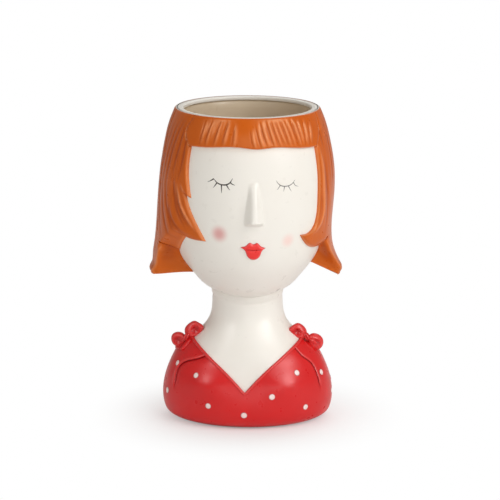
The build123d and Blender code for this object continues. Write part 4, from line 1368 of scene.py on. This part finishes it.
def tail_skin(points):
    ridge = hump(reach(points, tail_fold)[0] / 1.5)
    dip = hump(reach(points, tail_crease)[0] / 1.1)
    puff = 3.0 * rounded(reach(points, tail_closed)[0] / 2.0)
    out = dress_thickness - 0.4 + puff + 1.3 * ridge - 0.9 * dip
    return bust.place(*rolled(points, bust_radius), out), 0.7 * dip - 0.7 * ridge


bow_pieces.append(clad("bow_left_tail", tail_outline, tail_skin, under_dress, red_glaze, spacing=0.7))

knot_sides = 56
turns = np.linspace(0, 2 * pi, knot_sides, endpoint=False)
for name, middle, radii, lean in (
        ("bow_left_knot", (-57.8, -12.6, 79.4), (2.7, 3.2, 4.4), 0.5),
        ("bow_right_knot", (57.4, -12.4, 80.6), (2.6, 3.2, 4.2), -0.5)):
    rings, pools = [], []
    for level in np.linspace(-pi / 2 + 0.06, pi / 2 - 0.06, 34):
        pleat = 0.09 * cos(level) * np.sin(turns * 5 + 0.8 + 0.6 * sin(level)) * (np.sin(turns) < 0.6)
        swell = abs(cos(level))**0.8 * (1 + pleat)
        x, y, z = radii[0] * swell * np.cos(turns), radii[1] * swell * np.sin(turns), radii[2] * sin(level)
        rings.append(np.array(middle) + np.stack([
            cos(lean) * x + sin(lean) * z, y, -sin(lean) * x + cos(lean) * z], -1))
        pools.append(-pleat * 9)
    verts, faces = sleeve(rings, capped=True)
    bow_pieces.append(build(name, verts, faces, red_glaze, np.concatenate(pools)))
for piece in bow_pieces:
    seat(piece)

# Floor of the pot and its drain stopper
# The floor is a plain disc luted in and left bare underneath, with one drain hole.
# The stopper is moulded rubber with a flange below and a pull knob inside.
bare, given, result = tree_of(
    "bare_clay", [("Grain", "NodeSocketFloat", 600.0)],
    [("Color", "NodeSocketColor"), ("Height", "NodeSocketFloat")])
where = put(bare, "ShaderNodeTexCoord").outputs["Object"]
grain = clouds(bare, where, given.outputs["Grain"], 4.0, 0.7)
tone = put(bare, "ShaderNodeValToRGB", {"Fac": grain})
tone.color_ramp.elements[0].color = (0.50, 0.42, 0.33, 1)
tone.color_ramp.elements[1].color = (0.72, 0.65, 0.55, 1)
bare.links.new(tone.outputs["Color"], result.inputs["Color"])
bare.links.new(grain, result.inputs["Height"])
for node, roughness, tint, bump_depth in (
        ("base_disc", 0.85, None, 0.12), ("drain_plug", 0.55, (0.035, 0.035, 0.038, 1), 0.03)):
    material, tree, shader = fresh_material(node + "_finish")
    clay = put(tree, "ShaderNodeGroup", node_tree=bare)
    colour = clay.outputs["Color"]
    if tint:
        colour = blend(tree, 0.97, colour, tint)
    bump = put(tree, "ShaderNodeBump", {
        "Height": clay.outputs["Height"], "Strength": 0.6, "Distance": bump_depth * mm})
    tree.links.new(colour, shader.inputs["Base Color"])
    tree.links.new(bump.outputs["Normal"], shader.inputs["Normal"])
    shader.inputs["Roughness"].default_value = roughness
    piece = bpy.data.objects[node]
    piece.data.materials.clear()
    piece.data.materials.append(material)

# Studio
# A pale sweep of paper that fades to white, under a big softbox high on the right and weaker lights
# on the left, low in front and behind. Two windows show only as reflections in the glaze.
floor_half, paper_until_white = 6, 0.16
corners = [(-floor_half, -floor_half, 0), (floor_half, -floor_half, 0), (floor_half, floor_half, 0),
           (-floor_half, floor_half, 0)]
floor_mesh = bpy.data.meshes.new("floor")
floor_mesh.from_pydata(corners, [], [(0, 1, 2, 3)])
floor = bpy.data.objects.new("floor", floor_mesh)
bpy.context.scene.collection.objects.link(floor)
floor_paint, tree, paper = fresh_material("floor_paper")
paper.inputs["Base Color"].default_value = (0.93, 0.93, 0.93, 1)
paper.inputs["Roughness"].default_value = 0.9
paper.inputs["Specular IOR Level"].default_value = 0.1
ray = put(tree, "ShaderNodeLightPath")
where = put(tree, "ShaderNodeTexCoord").outputs["Object"]
far = put(tree, "ShaderNodeVectorMath", {0: where}, operation="LENGTH").outputs["Value"]
fade = remap(tree, far, 0.0, paper_until_white, interpolation_type="SMOOTHSTEP")
white = put(tree, "ShaderNodeEmission", {"Color": (1, 1, 1, 1), "Strength": 1.0})
glowing = product(tree, ray.outputs["Is Camera Ray"], fade)
both = put(tree, "ShaderNodeMixShader", {0: glowing, 1: paper.outputs["BSDF"], 2: white.outputs["Emission"]})
tree.links.new(both.outputs["Shader"], tree.nodes["Material Output"].inputs["Surface"])
floor_mesh.materials.append(floor_paint)

# For each lamp: its place in metres, its width and height, and its power in watts
lamps, aimed_at = [], Vector((0, 0, 0.15))
for name, place, width, height, power in (
        ("key", (1.55, -1.4, 1.6), 2.2, 2.2, 38.5),
        ("window_right", (1.7, -1.3, 1.05), 0.9, 1.6, 26.0),
        ("window_left", (-1.5, -1.6, 1.35), 0.8, 1.2, 13.0),
        ("fill", (-1.8, -1.3, 1.2), 1.3, 1.3, 6.0),
        ("low", (0.3, -2.0, 0.25), 1.6, 0.6, 5.0),
        ("back", (0.3, 1.6, 1.8), 1.8, 1.2, 14.0)):
    lamp = bpy.data.lights.new(name, "AREA")
    lamp.shape, lamp.size, lamp.size_y, lamp.energy = "RECTANGLE", width, height, power
    light = bpy.data.objects.new(name, lamp)
    light.location = place
    light.rotation_euler = (aimed_at - Vector(place)).to_track_quat("-Z", "Y").to_euler()
    bpy.context.scene.collection.objects.link(light)
    light.visible_diffuse = "window" not in name
    lamps.append(light)

world = bpy.data.worlds.new("white_room")
bpy.context.scene.world = world
world.use_nodes = True
sky = world.node_tree
ray = put(sky, "ShaderNodeLightPath")
seen = put(sky, "ShaderNodeMath", {0: ray.outputs["Is Camera Ray"], 1: ray.outputs["Is Transmission Ray"]},
           operation="MAXIMUM")
room = blend(sky, seen.outputs["Value"], (0.335, 0.318, 0.295, 1), (1, 1, 1, 1))
sky.links.new(room, sky.nodes["Background"].inputs["Color"])

lens = bpy.data.cameras.new("camera")
lens.lens, lens.sensor_width, lens.shift_x, lens.clip_end = 169.7, 36.0, 0.005, 20.0
camera = bpy.data.objects.new("camera", lens)
camera.location = (0.096, -2.198, 0.629)
camera.rotation_euler = (radians(90 - 11.99), 0, radians(2.5))
bpy.context.scene.collection.objects.link(camera)
bpy.context.scene.camera = camera
bpy.context.scene.view_settings.view_transform = "Standard"
